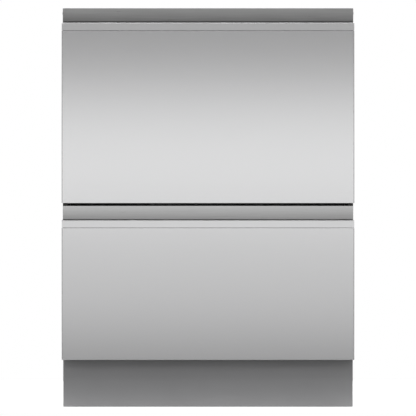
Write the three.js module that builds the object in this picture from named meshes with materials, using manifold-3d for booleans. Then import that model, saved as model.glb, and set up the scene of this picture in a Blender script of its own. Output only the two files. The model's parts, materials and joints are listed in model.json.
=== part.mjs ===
// Built-in dishwasher with two independent pull-out drawers, closed.
// Millimetres. +Z is up, the front faces -Y, and the origin is on the floor under the middle.
import * as THREE from 'three';
import { mergeVertices } from 'three/addons/utils/BufferGeometryUtils.js';
import Module from 'manifold-3d';

const wasm = await Module();
wasm.setup();

// ---------------------------------------------------------------- driving dimensions
const width = 599; // across the door panels
const height = 820; // floor to top, feet screwed right in
const depth = 573; // door face to back panel
const chassisWidth = 596;
const sheet = 1; // chassis steel
const gap = 0.3; // between pieces that touch
const doorDepth = 28;
const doorGap = 2; // door back to chassis front edge

const frontY = -depth / 2;
const backY = depth / 2;
const doorBackY = frontY + doorDepth;
const chassisFrontY = doorBackY + doorGap;
const inside = chassisWidth / 2 - sheet; // half the clear width between the chassis sides
const sheetTop = height - sheet - gap; // where the upright sheets end, under the top

// Each drawer module hangs from the plane of its tub's rim.
const modules = {
  upper: { rimZ: 778, doorTopZ: height - sheet, doorHeight: 399 },
  lower: { rimZ: 412, doorTopZ: 415, doorHeight: 316 },
};

const kick = { y: frontY + 55, top: 98.7, bottom: 0.8, wall: 1.2, lip: 9, sideReturn: 26 };

// handle, measured down from the top of the door
const lip = { top: -29, bottom: -45, thickness: 3, lean: 0.9 };
const scoop = { floor: -42, round: 7 };
const bandY = frontY + 24; // face of the recessed band behind the lip
const bandSheet = 2;
const panel = { top: lip.bottom - 0.8, skin: 1, returnDepth: 24, bend: 2.5 };

// control strip and its buttons, measured down from the top of the door
const strip = { half: 250, top: -4.5, bottom: -30.5, front: doorBackY + gap, back: -228.5 };
const button = { halfLength: 9, halfWidth: 5, proud: 1, sunk: 3, travel: 1.2, play: 0.4 };
const buttonPlaces = { power_button: -205, start_button: 205 };
const buttonY = (strip.front + strip.back) / 2;

// tub and all that it holds, measured from its rim
const tub = { halfWidth: 262, front: -222, back: 248, wall: 4, depth: 260, corner: 26, rimOut: 6 };
const tubFloor = -tub.depth + tub.wall; // upper face of the floor
const hubY = 13; // spray arm axis, in the middle of the tub
const hub = { radius: 14.8, play: 0.7, top: -243 };
const sump = { radius: 100, depth: 14, wall: 3 };
const dispenser = { x0: -62, x1: 34, z0: -142, z1: -78, deep: 14, wall: 3 };
const latchBore = { x: -30, z: -93, radius: 4.5 }; // for the pin that frees the flap
const flap = { x0: -56, x1: -4, z0: -136, z1: -84, thickness: 3, lug: 6, lugInset: 4 };
const filter = { top: tubFloor - sump.depth + 4, plate: 3, rimHeight: 5, rimWidth: 4, slots: 10 };
const arm = { reach: 200, root: 26, shoulder: 19, tip: 11, bottom: -250, top: -239 };
const jet = { radius: 4, height: 2, offset: 5, places: [60, 105, 150, 185] };
const basket = { halfWidth: 236, front: -168, back: 222, floor: -228, rim: -16, wire: 4 };
const cupRack = { hingeX: -227, hingeZ: -98, reach: 82, y0: -140, y1: 208, wire: 4 };
const cutlery = { x0: 154, x1: 216, y0: -128, y1: 166, z0: -223.6, z1: -100, wall: 2.5, cells: 4 };

const seal = { bottom: 10, height: 8, half: 264, width: 10 }; // under the raised lid
const lid = { half: 266, front: -226, back: 252, corner: 28, height: 12, rim: 16, recess: 7 };
const lidBottom = seal.bottom + seal.height + gap;
const ear = { y0: 6, y1: 46, reach: 16, bottom: 2, top: 9 };
const actuator = { near: 271, y0: -14, y1: 104, z0: 6, z1: 38 };

const runnerZ = -78;
const runnerSheet = 1.5;
const ledge = { out: inside - 14.6, half: 8 }; // side ledges reach the inner runner members

// ---------------------------------------------------------------- materials
const standard = (metalness) => (color, roughness) => (
  new THREE.MeshStandardMaterial({ color, roughness, metalness })
);
const metal = standard(1);
const plastic = standard(0);
const looks = {
  brushedSteel: metal(0xb9babc, 0.35),
  galvanised: metal(0xa9adb0, 0.5),
  kickSteel: metal(0x808183, 0.5),
  filterSteel: metal(0xc4c6c8, 0.3),
  runnerSteel: metal(0xc2c4c6, 0.3),
  blackSteel: metal(0x18191a, 0.6),
  tubPlastic: plastic(0xb4b8bb, 0.45),
  lidPlastic: plastic(0xa3a7aa, 0.5),
  linerPlastic: plastic(0x3c3e40, 0.6),
  blackGloss: plastic(0x101113, 0.15),
  buttonPlastic: plastic(0xc9cbcc, 0.3),
  coatedWire: plastic(0x9aa3aa, 0.4),
  armPlastic: plastic(0x5c646b, 0.45),
  pumpPlastic: plastic(0x202224, 0.55),
  actuatorPlastic: plastic(0xd8d8d4, 0.5),
  sealRubber: plastic(0x2c2d2e, 0.8),
  footPlastic: plastic(0x26282a, 0.7),
  basinPlastic: plastic(0x55595c, 0.6),
  servicePlastic: plastic(0x6d7073, 0.6),
};

// ---------------------------------------------------------------- solids
function solidOf(geometry) {
  const bare = new THREE.BufferGeometry();
  bare.setAttribute('position', geometry.getAttribute('position'));
  if (geometry.index) bare.setIndex(geometry.index);
  const merged = mergeVertices(bare, 1e-4);
  const mesh = new wasm.Mesh({
    numProp: 3,
    vertProperties: merged.attributes.position.array,
    triVerts: new Uint32Array(merged.index.array),
  });
  return new wasm.Manifold(mesh);
}

function box(x0, x1, y0, y1, z0, z1) {
  const geometry = new THREE.BoxGeometry(x1 - x0, y1 - y0, z1 - z0);
  geometry.translate((x0 + x1) / 2, (y0 + y1) / 2, (z0 + z1) / 2);
  return solidOf(geometry);
}

// A box on one side of the machine, given by its distances from the middle.
function sideBox(side, xNear, xFar, y0, y1, z0, z1) {
  const [x0, x1] = side > 0 ? [xNear, xFar] : [-xFar, -xNear];
  return box(x0, x1, y0, y1, z0, z1);
}

// A disc or post standing on z0.
function post(x, y, radius, z0, z1, sides = 20) {
  const geometry = new THREE.CylinderGeometry(radius, radius, z1 - z0, sides);
  geometry.rotateX(Math.PI / 2).translate(x, y, (z0 + z1) / 2);
  return solidOf(geometry);
}

// A round bar along Y.
function barY(x, z, radius, y0, y1, sides = 12) {
  const geometry = new THREE.CylinderGeometry(radius, radius, y1 - y0, sides);
  geometry.translate(x, (y0 + y1) / 2, z);
  return solidOf(geometry);
}

function extrudeAlong(shape, length, matrix, curveSegments = 4) {
  const settings = { depth: length, bevelEnabled: false, curveSegments };
  return solidOf(new THREE.ExtrudeGeometry(shape, settings).applyMatrix4(matrix));
}

// An outline drawn in Y and Z, drawn out along X.
function alongX(shape, x0, x1, curveSegments) {
  const turn = new THREE.Matrix4().makeBasis(
    new THREE.Vector3(0, 1, 0),
    new THREE.Vector3(0, 0, 1),
    new THREE.Vector3(1, 0, 0),
  );
  return extrudeAlong(shape, x1 - x0, turn.setPosition(x0, 0, 0), curveSegments);
}

// An outline drawn in X and Y, drawn out along Z.
function alongZ(shape, z0, z1, curveSegments) {
  const lift = new THREE.Matrix4().makeTranslation(0, 0, z0);
  return extrudeAlong(shape, z1 - z0, lift, curveSegments);
}

function outline(points) {
  return new THREE.Shape(points.map(([u, v]) => new THREE.Vector2(u, v)));
}

function roundedOutline(x0, x1, y0, y1, r) {
  const shape = new THREE.Shape();
  shape.moveTo(x0 + r, y0);
  shape.lineTo(x1 - r, y0);
  shape.absarc(x1 - r, y0 + r, r, -Math.PI / 2, 0);
  shape.lineTo(x1, y1 - r);
  shape.absarc(x1 - r, y1 - r, r, 0, Math.PI / 2);
  shape.lineTo(x0 + r, y1);
  shape.absarc(x0 + r, y1 - r, r, Math.PI / 2, Math.PI);
  shape.lineTo(x0, y0 + r);
  shape.absarc(x0 + r, y0 + r, r, Math.PI, Math.PI * 1.5);
  return shape;
}

// A rounded slab that is inset by the same amount on all four sides of a plan.
function slab({ half, front, back, corner }, inset, z0, z1) {
  const shape = roundedOutline(
    -half + inset, half - inset, front + inset, back - inset, corner - inset,
  );
  return alongZ(shape, z0, z1);
}

// The numbers from first to last in a count of equal steps.
function evenly(first, last, steps) {
  return Array.from({ length: steps + 1 }, (_, i) => first + ((last - first) * i) / steps);
}

const join = (solids) => solids.reduce((sum, next) => sum.add(next));
const cut = (solid, tools) => tools.reduce((left, tool) => left.subtract(tool), solid);
const bothSides = (make) => [make(1), make(-1)];

// Crossing bars of width t in one level, whose lower edges lie at the given places.
function wireGrid(xs, ys, t, z) {
  const plate = box(xs[0], xs[xs.length - 1] + t, ys[0], ys[ys.length - 1] + t, z, z + t);
  const holes = [];
  for (let i = 1; i < xs.length; i += 1) {
    for (let j = 1; j < ys.length; j += 1) {
      holes.push(box(xs[i - 1] + t, xs[i], ys[j - 1] + t, ys[j], z - 1, z + t + 1));
    }
  }
  return cut(plate, holes);
}

function piece(name, solid, look) {
  const made = solid.getMesh();
  const geometry = new THREE.BufferGeometry();
  const places = new THREE.BufferAttribute(new Float32Array(made.vertProperties), 3);
  geometry.setAttribute('position', places);
  geometry.setIndex(new THREE.BufferAttribute(new Uint32Array(made.triVerts), 1));
  geometry.computeVertexNormals();
  const mesh = new THREE.Mesh(geometry, look);
  mesh.name = name;
  return mesh;
}

// ---------------------------------------------------------------- chassis
const sidePlate = { flange: 9, toeY: kick.y + 30, toeZ: 100, bottom: 30, notch: 27 };
const service = { y: backY - 24.5, plate: 2.5, bottom: 42, top: 178, tip: backY - 1.5 };

function chassisSide(side) {
  const { flange, toeY, toeZ, bottom, notch } = sidePlate;
  const plate = outline([
    [chassisFrontY, toeZ], [toeY, toeZ], [toeY, bottom], [backY, bottom],
    [backY, sheetTop], [chassisFrontY, sheetTop],
  ]);
  const x0 = side > 0 ? inside : -inside - sheet;
  const near = inside - flange;
  const far = inside + sheet;
  const frontFlange = sideBox(
    side, near, far, chassisFrontY, chassisFrontY + sheet, toeZ, sheetTop,
  );
  const notches = Object.values(modules).map(({ rimZ }) => sideBox(
    side, near - 1, inside, chassisFrontY - 1, chassisFrontY + sheet + 1,
    rimZ + runnerZ - notch, rimZ + runnerZ + notch,
  ));
  const rearY = backY - 2.8;
  return join([
    alongX(plate, x0, x0 + sheet),
    cut(frontFlange, notches),
    sideBox(side, near, far, rearY, rearY + sheet, bottom, sheetTop),
    sideBox(side, near, far, toeY, backY, bottom, bottom + sheet),
  ]);
}

const bead = { half: 8, xs: [-150, 0, 150], zs: [320, 480, 640], topDepth: 1.5, backDepth: 2 };

function chassisTop() {
  const under = height - sheet;
  const plate = box(-chassisWidth / 2, chassisWidth / 2, chassisFrontY, backY, under, height);
  const beads = bead.xs.map((x) => (
    box(x - bead.half, x + bead.half, -180, 220, under - bead.topDepth, under)
  ));
  return join([plate, ...beads]);
}

function chassisBack() {
  const inner = backY - 1.5;
  const half = inside - gap;
  const plate = box(-half, half, inner, backY - gap, service.top + 0.5, sheetTop);
  const beads = bead.zs.map((z) => (
    box(-230, 230, inner - bead.backDepth, inner, z, z + 2 * bead.half)
  ));
  return join([plate, ...beads]);
}

const basePan = { front: kick.y + 10, back: backY - 25.5, floor: 40, top: 96, wall: 1.5 };
const foot = { x: 262, frontY: -188, rearY: 228, stud: 6, studTop: 92, pad: 24, boss: 16 };
const footPlaces = {
  front_left: [-foot.x, foot.frontY],
  front_right: [foot.x, foot.frontY],
  rear_left: [-foot.x, foot.rearY],
  rear_right: [foot.x, foot.rearY],
};

function basePanSolid() {
  const { front, back, floor, top, wall } = basePan;
  const half = inside - gap;
  const hollow = box(
    -half + wall, half - wall, front + wall, back - wall, floor + wall, top + 1,
  );
  const tray = cut(box(-half, half, front, back, floor, top), [hollow]);
  const spots = Object.values(footPlaces);
  const bosses = spots.map(([x, y]) => post(x, y, foot.boss, floor / 2, top, 16));
  const ribs = [-120, 120].map((x) => box(x - 1, x + 1, front, back, floor, floor + 20));
  const bores = spots.map(([x, y]) => post(x, y, foot.stud + gap, 0, top + 1, 16));
  return cut(join([tray, ...bosses, ...ribs]), bores);
}

function levellingFoot([x, y]) {
  return join([
    post(x, y, foot.pad, 0, 5),
    post(x, y, foot.pad - 6, 5, 9),
    post(x, y, 11, 9, 17, 6), // spanner flats
    post(x, y, foot.stud, 17, foot.studTop, 16),
  ]);
}

function kickPlate() {
  const half = chassisWidth / 2;
  const { y, top, bottom, wall } = kick;
  return join([
    box(-half, half, y, y + wall, bottom, top),
    box(-half, half, y, y + kick.lip, top - wall, top),
    ...bothSides((side) => (
      sideBox(side, half - wall, half, y, y + kick.sideReturn, bottom, top)
    )),
    ...[-170, 170].map((x) => box(x - 12, x + 12, y, basePan.front - 0.4, 55, 57)), // clips
  ]);
}

// The bar between the drawers that holds the chassis sides apart.
function midRail() {
  const half = inside - gap;
  const front = chassisFrontY + 1.5;
  const [low, high, leg, wall] = [418, 448, 22, 2];
  const c = outline([
    [front, low], [front + leg, low], [front + leg, low + wall], [front + wall, low + wall],
    [front + wall, high - wall], [front + leg, high - wall], [front + leg, high], [front, high],
  ]);
  return alongX(c, -half, half);
}

// Each fitting on the service panel: its place, radii and bore.
const inlet = { x: -250, z: 92, nut: 17, radius: 13, bore: 8 };
const drain = { x: -195, z: 112, collar: 14, radius: 9.5, barb: 11, bore: 7 };
const gland = { x: 235, z: 92, nut: 13, radius: 9, bore: 4.5, length: 16 };

function servicePanel() {
  const { y, plate, bottom, top, tip } = service;
  const half = inside - gap;
  const shelf = box(-half, half, y, backY - 3.1, top - plate, top);
  const wall = box(-half, half, y, y + plate, bottom, top);
  const gussets = [-200, -60, 60, 200].map((x) => (
    box(x - 1.2, x + 1.2, y, backY - 6, top - 28, top)
  ));
  const fittings = [
    barY(inlet.x, inlet.z, inlet.nut, y, y + 8, 6),
    barY(inlet.x, inlet.z, inlet.radius, y, tip, 16),
    barY(drain.x, drain.z, drain.collar, y, y + 6),
    barY(drain.x, drain.z, drain.radius, y, tip),
    ...[10, 15].map((s) => barY(drain.x, drain.z, drain.barb, y + s, y + s + 2.5)),
    barY(gland.x, gland.z, gland.nut, y, y + 7, 6),
    barY(gland.x, gland.z, gland.radius, y, y + gland.length),
  ];
  const bores = [inlet, drain, gland].map(({ x, z, bore }) => barY(x, z, bore, y + 6, backY + 5));
  return cut(join([wall, shelf, ...gussets, ...fittings]), bores);
}

// ---------------------------------------------------------------- door
function frontPanel({ doorHeight }) {
  const { top, skin, returnDepth, bend } = panel;
  const half = width / 2;
  const beyond = frontY + 60;
  const outer = roundedOutline(-half, half, frontY, beyond, bend);
  const inner = roundedOutline(
    -half + skin, half - skin, frontY + skin, beyond - skin, bend - skin,
  );
  return cut(alongZ(outer, -doorHeight, top), [
    alongZ(inner, -doorHeight + skin, top - skin),
    box(-half - 1, half + 1, frontY + returnDepth, beyond + 1, -doorHeight - 1, 0),
  ]);
}

// The finger recess in section: a leaning lip, a rounded scoop and the band behind it.
function handleSection(scoopFront) {
  const lipRound = lip.thickness / 2;
  const { floor, round } = scoop;
  const shape = new THREE.Shape();
  shape.moveTo(frontY + 0.5, lip.bottom);
  shape.lineTo(frontY, lip.bottom + 0.5);
  shape.lineTo(frontY + lip.lean, lip.top - lipRound);
  shape.absarc(frontY + lip.lean + lipRound, lip.top - lipRound, lipRound, Math.PI, 0, true);
  shape.lineTo(scoopFront, floor + round);
  shape.absarc(scoopFront + round, floor + round, round, Math.PI, Math.PI * 1.5);
  shape.lineTo(bandY - round, floor);
  shape.absarc(bandY - round, floor + round, round, Math.PI * 1.5, Math.PI * 2);
  shape.lineTo(bandY, 0);
  shape.lineTo(bandY + bandSheet, 0);
  shape.lineTo(bandY + bandSheet, lip.bottom);
  return shape;
}

function handle() {
  const half = width / 2;
  const bandHalf = chassisWidth / 2;
  const scoopFront = frontY + lip.lean + lip.thickness;
  const bar = alongX(handleSection(scoopFront), -half, half, 5);
  const ends = bothSides((side) => sideBox(
    side, bandHalf - 3, bandHalf, scoopFront - 0.5, bandY + 1, scoop.floor - 1, lip.top - 1,
  ));
  const trims = bothSides((side) => sideBox(
    side, bandHalf, half + 1, scoopFront + 2, bandY + 5, lip.bottom - 1, 1,
  ));
  return cut(join([bar, ...ends]), trims);
}

const liner = { slack: 1.8, plate: 3, wall: 2, shelf: 3, rib: 2.5 };

// Inner moulding of the door, with the shelf that carries the control strip.
function doorLiner({ doorHeight }) {
  const { slack, plate, wall } = liner; // slack keeps it off the steel panel round it
  const half = width / 2 - slack;
  const top = panel.top - slack;
  const bottom = -doorHeight + slack;
  const y0 = frontY + slack;
  const tray = cut(box(-half, half, y0, doorBackY, bottom, top), [
    box(-half + wall, half - wall, y0 - 1, doorBackY - plate, bottom + wall, top - wall),
  ]);
  const ribs = [-150, 0, 150].map((x) => (
    box(x - liner.rib / 2, x + liner.rib / 2, y0 + 3, doorBackY, bottom, top)
  ));
  const tongueHalf = chassisWidth / 2 - 2;
  const tongue = box(-tongueHalf, tongueHalf, bandY + bandSheet + gap, doorBackY, top - 3, -1);
  const shelfTop = strip.bottom - gap;
  const shelfY = doorBackY - 1;
  const shelf = box(
    -strip.half, strip.half, shelfY, strip.back - 1, shelfTop - liner.shelf, shelfTop,
  );
  const gusset = outline([
    [shelfY, shelfTop - 22], [shelfY + 23, shelfTop - 1], [shelfY, shelfTop - 1],
  ]);
  const gussets = [-225, -75, 75, 225].map((x) => alongX(gusset, x - 1.5, x + 1.5));
  return join([tray, ...ribs, tongue, shelf, ...gussets]);
}

function buttonOutline(x, play, corner) {
  const [length, across] = [button.halfLength + play, button.halfWidth + play];
  return roundedOutline(x - length, x + length, buttonY - across, buttonY + across, corner);
}

function controlStrip() {
  const body = alongX(outline([
    [strip.front, strip.bottom], [strip.back, strip.bottom],
    [strip.back, strip.top - 3], [strip.back - 3, strip.top], [strip.front, strip.top],
  ]), -strip.half, strip.half);
  const pocketFloor = strip.top - button.sunk - button.travel - 0.5;
  const pockets = Object.values(buttonPlaces).map((x) => (
    alongZ(buttonOutline(x, button.play, 3), pocketFloor, strip.top + 1, 3)
  ));
  const display = box(-60, 60, buttonY - 7, buttonY + 7, strip.top - 0.8, strip.top + 1);
  return cut(body, [...pockets, display]);
}

function pushButton(x) {
  return alongZ(buttonOutline(x, 0, 2.6), strip.top - button.sunk, strip.top + button.proud, 3);
}

// ---------------------------------------------------------------- tub
function tubShell() {
  const { halfWidth: w, front, back, wall, depth: deep, corner, rimOut } = tub;
  const plan = { half: w, front, back, corner };
  const floorUnder = tubFloor - sump.depth;
  return {
    solids: [
      slab(plan, 0, -deep, 0),
      slab(plan, -rimOut, -wall, 0),
      post(0, hubY, sump.radius + sump.wall, floorUnder - sump.wall, tubFloor - 1, 32),
    ],
    hollows: [
      slab(plan, wall, tubFloor, 1),
      post(0, hubY, sump.radius, floorUnder, tubFloor + 1, 32),
    ],
  };
}

function tubSolid() {
  const { solids, hollows } = tubShell();
  const { halfWidth: w, front, back, wall } = tub;
  const { x0, x1, z0, z1, deep, wall: thick } = dispenser;
  const pocketY = front - deep;
  const pocket = box(x0 - thick, x1 + thick, pocketY, front + 1, z0 - thick, z1 + thick);
  const pocketHollow = box(x0, x1, pocketY + thick, front + wall + 1, z0, z1);
  const pinHole = barY(latchBore.x, latchBore.z, latchBore.radius, pocketY - 1, front);
  const ledges = bothSides((side) => sideBox(
    side, w - 1, ledge.out, front + 8, back - 8, runnerZ - ledge.half, runnerZ + ledge.half,
  ));
  const brackets = [-180, 180].map((x) => (
    box(x - 2.5, x + 2.5, doorBackY + gap, front + 1, -220, -60) // carry the door
  ));
  const shell = cut(
    join([...solids, pocket, ...ledges, ...brackets]),
    [...hollows, pocketHollow, pinHole],
  );
  const armPost = post(0, hubY, hub.radius, tubFloor - sump.depth - 1, hub.top);
  const rests = bothSides((side) => join([-98, 166].map((y) => (
    post(side * 198, y, 5, tubFloor - 1, basket.floor - 1, 12)
  )))); // the dish basket stands over these
  return join([shell, armPost, ...rests]);
}

function dispenserFlap() {
  const { x0, x1, z0, z1, thickness, lug, lugInset } = flap;
  const back = tub.front + thickness;
  const plate = box(x0, x1, tub.front, back, z0 + 2, z1);
  const lugs = [x0 + lugInset, x1 - lugInset - lug].map((x) => (
    box(x, x + lug, tub.front - 1, back, z0, z0 + 3)
  ));
  return join([plate, ...lugs]);
}

function filterPlate() {
  const { top, plate, rimHeight, rimWidth, slots } = filter;
  const radius = sump.radius - 2;
  const rim = cut(post(0, hubY, radius, top - 1, top + rimHeight, 32), [
    post(0, hubY, radius - rimWidth, top - 2, top + rimHeight + 1, 32),
  ]);
  const slotRing = 62;
  const slotHoles = evenly(0, Math.PI * 2, slots).slice(1).map((turn) => post(
    Math.cos(turn) * slotRing, hubY + Math.sin(turn) * slotRing, 9, top - 5, top + 1, 6,
  ));
  const cupHole = post(0, hubY, 25, top - 6, top + 6);
  return cut(join([post(0, hubY, radius, top - plate, top, 32), rim]), [...slotHoles, cupHole]);
}

function sprayArm() {
  const { reach, root, shoulder, tip, bottom, top } = arm;
  const bend = reach * 0.6;
  const plan = outline([
    [-root, 0], [-shoulder, bend], [-tip, reach], [tip, reach], [shoulder, bend],
    [root, 0], [shoulder, -bend], [tip, -reach], [-tip, -reach], [-shoulder, -bend],
  ]);
  const jets = jet.places.flatMap((r) => [-1, 1].map((end) => post(
    end * jet.offset, hubY + end * r, jet.radius, top - 0.5, top + jet.height, 6,
  )));
  return cut(join([
    post(0, hubY, 22, tubFloor - 7, top + 1),
    alongZ(plan, bottom, top).translate([0, hubY, 0]),
    ...jets,
  ]), [post(0, hubY, hub.radius + hub.play, tubFloor - 8, top - 2)]);
}

const pump = { bottom: -310, bodyRadius: 82, motorRadius: 66, bodyHeight: 22 };

function washPump() {
  const top = tubFloor - sump.depth - sump.wall - gap - 0.1;
  const { bottom, bodyRadius, motorRadius, bodyHeight } = pump;
  const heater = { x: 112, y: hubY + 20, radius: 24 };
  const hoseZ = bottom + 16;
  return join([
    post(0, hubY, bodyRadius, top - bodyHeight, top, 28),
    post(0, hubY, motorRadius, bottom, top - bodyHeight, 28),
    post(heater.x, heater.y, heater.radius, bottom + 4, top - 2),
    box(60, heater.x, heater.y - 12, heater.y + 12, bottom + 8, top - 4),
    barY(heater.x, hoseZ, 9, heater.y, 205), // fill pipe
    barY(-96, hoseZ, 8, hubY - 40, 190), // drain pipe
    box(-104, -60, hubY - 40, hubY - 22, bottom + 8, top - 6),
  ]);
}

// ---------------------------------------------------------------- racks
const floorWireXs = [-198, -132, -66, 0, 66, 132, 198];
const floorWireYs = [-98, -32, 34, 100, 166];
const tine = { xs: floorWireXs.slice(0, 4), top: -150, half: 1.6 };

function dishBasket() {
  const { halfWidth: w, front, back, floor, rim, wire: t } = basket;
  const lowEdges = (wires) => wires.map((at) => at - t / 2);
  const endXs = [-w, w - t];
  const endYs = [front, back - t];
  const floorXs = [endXs[0], ...lowEdges(floorWireXs), endXs[1]];
  const floorYs = [endYs[0], ...lowEdges(floorWireYs), endYs[1]];
  const rings = [-122, rim - t].map((z) => wireGrid(endXs, endYs, t, z));
  const upright = (x, y) => box(x, x + t, y, y + t, floor, rim - 1);
  const uprights = [
    ...lowEdges(floorWireXs).flatMap((x) => endYs.map((y) => upright(x, y))),
    ...lowEdges(floorWireYs).flatMap((y) => endXs.map((x) => upright(x, y))),
  ];
  const tines = tine.xs.flatMap((x) => floorWireYs.map((y) => box(
    x - tine.half, x + tine.half, y - tine.half, y + tine.half, floor + t - 1, tine.top,
  )));
  return join([wireGrid(floorXs, floorYs, t, floor), ...rings, ...uprights, ...tines]);
}

function foldingCupRack() {
  const { hingeX, hingeZ, reach, y0, y1, wire: t } = cupRack;
  const x0 = hingeX - t / 2;
  return wireGrid(
    [x0, x0 + reach / 2, x0 + reach - t], evenly(y0, y1 - t, 6), t, hingeZ - t / 2,
  );
}

// Open cells in a row, and a carrying loop that stands on two of the walls between them.
function cutleryBasket() {
  const { x0, x1, y0, y1, z0, z1, wall, cells } = cutlery;
  const pitch = (y1 - y0 - wall) / cells;
  const walls = evenly(y0, y1 - wall, cells);
  const hollows = walls.slice(0, cells).map((y) => (
    box(x0 + wall, x1 - wall, y + wall, y + pitch, z0 + wall, z1 + 1)
  ));
  const loop = { half: 2.5, bar: 12, sunk: 10, top: z1 + 42 };
  const midX = (x0 + x1) / 2;
  const [firstWall, lastWall] = [walls[1] - 2, walls[cells - 1] + wall + 2];
  const loopPlate = box(
    midX - loop.half, midX + loop.half, firstWall, lastWall, z1 - loop.sunk, loop.top,
  );
  const loopHole = box(
    midX - 5, midX + 5, firstWall + 6, lastWall - 6, z1 - loop.sunk - 1, loop.top - loop.bar,
  );
  const tray = cut(box(x0, x1, y0, y1, z0, z1), hollows);
  return join([tray, cut(loopPlate, [loopHole])]);
}

// ---------------------------------------------------------------- lid
function lidSolid() {
  const z0 = lidBottom;
  const z1 = z0 + lid.height;
  const ears = bothSides((side) => sideBox(
    side, lid.half - 2, lid.half + ear.reach, ear.y0, ear.y1, z0 + ear.bottom, z0 + ear.top,
  ));
  const ribs = [-160, 0, 160].map((x) => (
    box(x - 2, x + 2, lid.front + 10, lid.back - 10, z1 - lid.recess - 1, z1 - 1)
  ));
  const plate = cut(slab(lid, 0, z0, z1), [slab(lid, lid.rim, z1 - lid.recess, z1 + 1)]);
  return join([plate, ...ears, ...ribs]);
}

function lidSeal() {
  const inset = lid.half - seal.half;
  const top = seal.bottom + seal.height;
  return cut(slab(lid, inset, seal.bottom, top), [
    slab(lid, inset + seal.width, seal.bottom - 1, top + 1),
  ]);
}

// Motor box at each side whose slot carries the lid's ear up and down.
function lidActuator(side) {
  const { near, y0, y1, z0, z1 } = actuator;
  return cut(sideBox(side, near, inside - gap, y0, y1, z0, z1), [
    sideBox(side, near - 1, near + 14, ear.y0 - 2, ear.y1 + 2, z0 + 1.5, z1 - 7),
    sideBox(side, near - 1, near + 8, 56, y1 + 1, z0 - 1, z0 + 8),
  ]);
}

// ---------------------------------------------------------------- telescopic runners
// A channel on one side. Its web and the ends of its flanges lie at these distances
// from the chassis side, and reach is half its height.
function channel(side, { web, ends, reach, y0, y1 }) {
  const t = runnerSheet;
  const outwards = web > ends; // the web lies on the drawer's side of its flanges
  const outer = Math.min(web, ends);
  const inner = Math.max(web, ends);
  const webOuter = outwards ? web - t : web;
  const flange = (z) => sideBox(side, inside - inner, inside - outer, y0, y1, z, z + t);
  return join([
    sideBox(side, inside - webOuter - t, inside - webOuter, y0, y1, runnerZ - reach, runnerZ + reach),
    flange(runnerZ + reach - t),
    flange(runnerZ - reach),
  ]);
}

const runnerMembers = {
  outer: { web: gap, ends: 11.5, reach: 23, y0: -252, y1: 262 },
  middle: { web: 3.6, ends: 11, reach: 18.5, y0: -250, y1: 250 },
  inner: { web: 14.3, ends: 7, reach: 13.5, y0: -250, y1: 246 },
};

// ---------------------------------------------------------------- assembly
const sides = { left: -1, right: 1 };

function chassisPieces() {
  return [
    piece('chassis_left_side', chassisSide(-1), looks.galvanised),
    piece('chassis_right_side', chassisSide(1), looks.galvanised),
    piece('chassis_top', chassisTop(), looks.galvanised),
    piece('chassis_back', chassisBack(), looks.galvanised),
    piece('base_pan', basePanSolid(), looks.basinPlastic),
    piece('mid_rail', midRail(), looks.blackSteel),
    piece('service_panel', servicePanel(), looks.servicePlastic),
    piece('kick_plate', kickPlate(), looks.kickSteel),
    ...Object.entries(footPlaces).map(([place, spot]) => (
      piece(`foot_${place}`, levellingFoot(spot), looks.footPlastic)
    )),
  ];
}

function doorPieces(name, module) {
  return [
    piece(`${name}_front_panel`, frontPanel(module), looks.brushedSteel),
    piece(`${name}_handle`, handle(), looks.brushedSteel),
    piece(`${name}_door_liner`, doorLiner(module), looks.linerPlastic),
    piece(`${name}_control_strip`, controlStrip(), looks.blackGloss),
    ...Object.entries(buttonPlaces).map(([label, x]) => (
      piece(`${name}_${label}`, pushButton(x), looks.buttonPlastic)
    )),
  ];
}

function tubPieces(name) {
  return [
    piece(`${name}_tub`, tubSolid(), looks.tubPlastic),
    piece(`${name}_dispenser_flap`, dispenserFlap(), looks.lidPlastic),
    piece(`${name}_filter_plate`, filterPlate(), looks.filterSteel),
    piece(`${name}_spray_arm`, sprayArm(), looks.armPlastic),
    piece(`${name}_wash_pump`, washPump(), looks.pumpPlastic),
    piece(`${name}_dish_basket`, dishBasket(), looks.coatedWire),
    piece(`${name}_cup_rack`, foldingCupRack(), looks.coatedWire),
    piece(`${name}_cutlery_basket`, cutleryBasket(), looks.armPlastic),
    piece(`${name}_lid`, lidSolid(), looks.lidPlastic),
    piece(`${name}_lid_seal`, lidSeal(), looks.sealRubber),
  ];
}

function sidePieces(name, label, side) {
  return [
    piece(`${name}_lid_actuator_${label}`, lidActuator(side), looks.actuatorPlastic),
    ...Object.entries(runnerMembers).map(([member, size]) => (
      piece(`${name}_runner_${member}_${label}`, channel(side, size), looks.runnerSteel)
    )),
  ];
}

const machine = new THREE.Group();
machine.add(...chassisPieces());
for (const [name, module] of Object.entries(modules)) {
  const door = new THREE.Group();
  door.position.z = module.doorTopZ;
  door.add(...doorPieces(name, module));

  const body = new THREE.Group();
  body.position.z = module.rimZ;
  body.add(...tubPieces(name));
  for (const [label, side] of Object.entries(sides)) {
    body.add(...sidePieces(name, label, side));
  }
  machine.add(door, body);
}

export default machine;
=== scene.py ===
import json
from math import cos, pi, radians, sin

import bmesh
import bpy
from mathutils import Matrix, Vector


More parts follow.
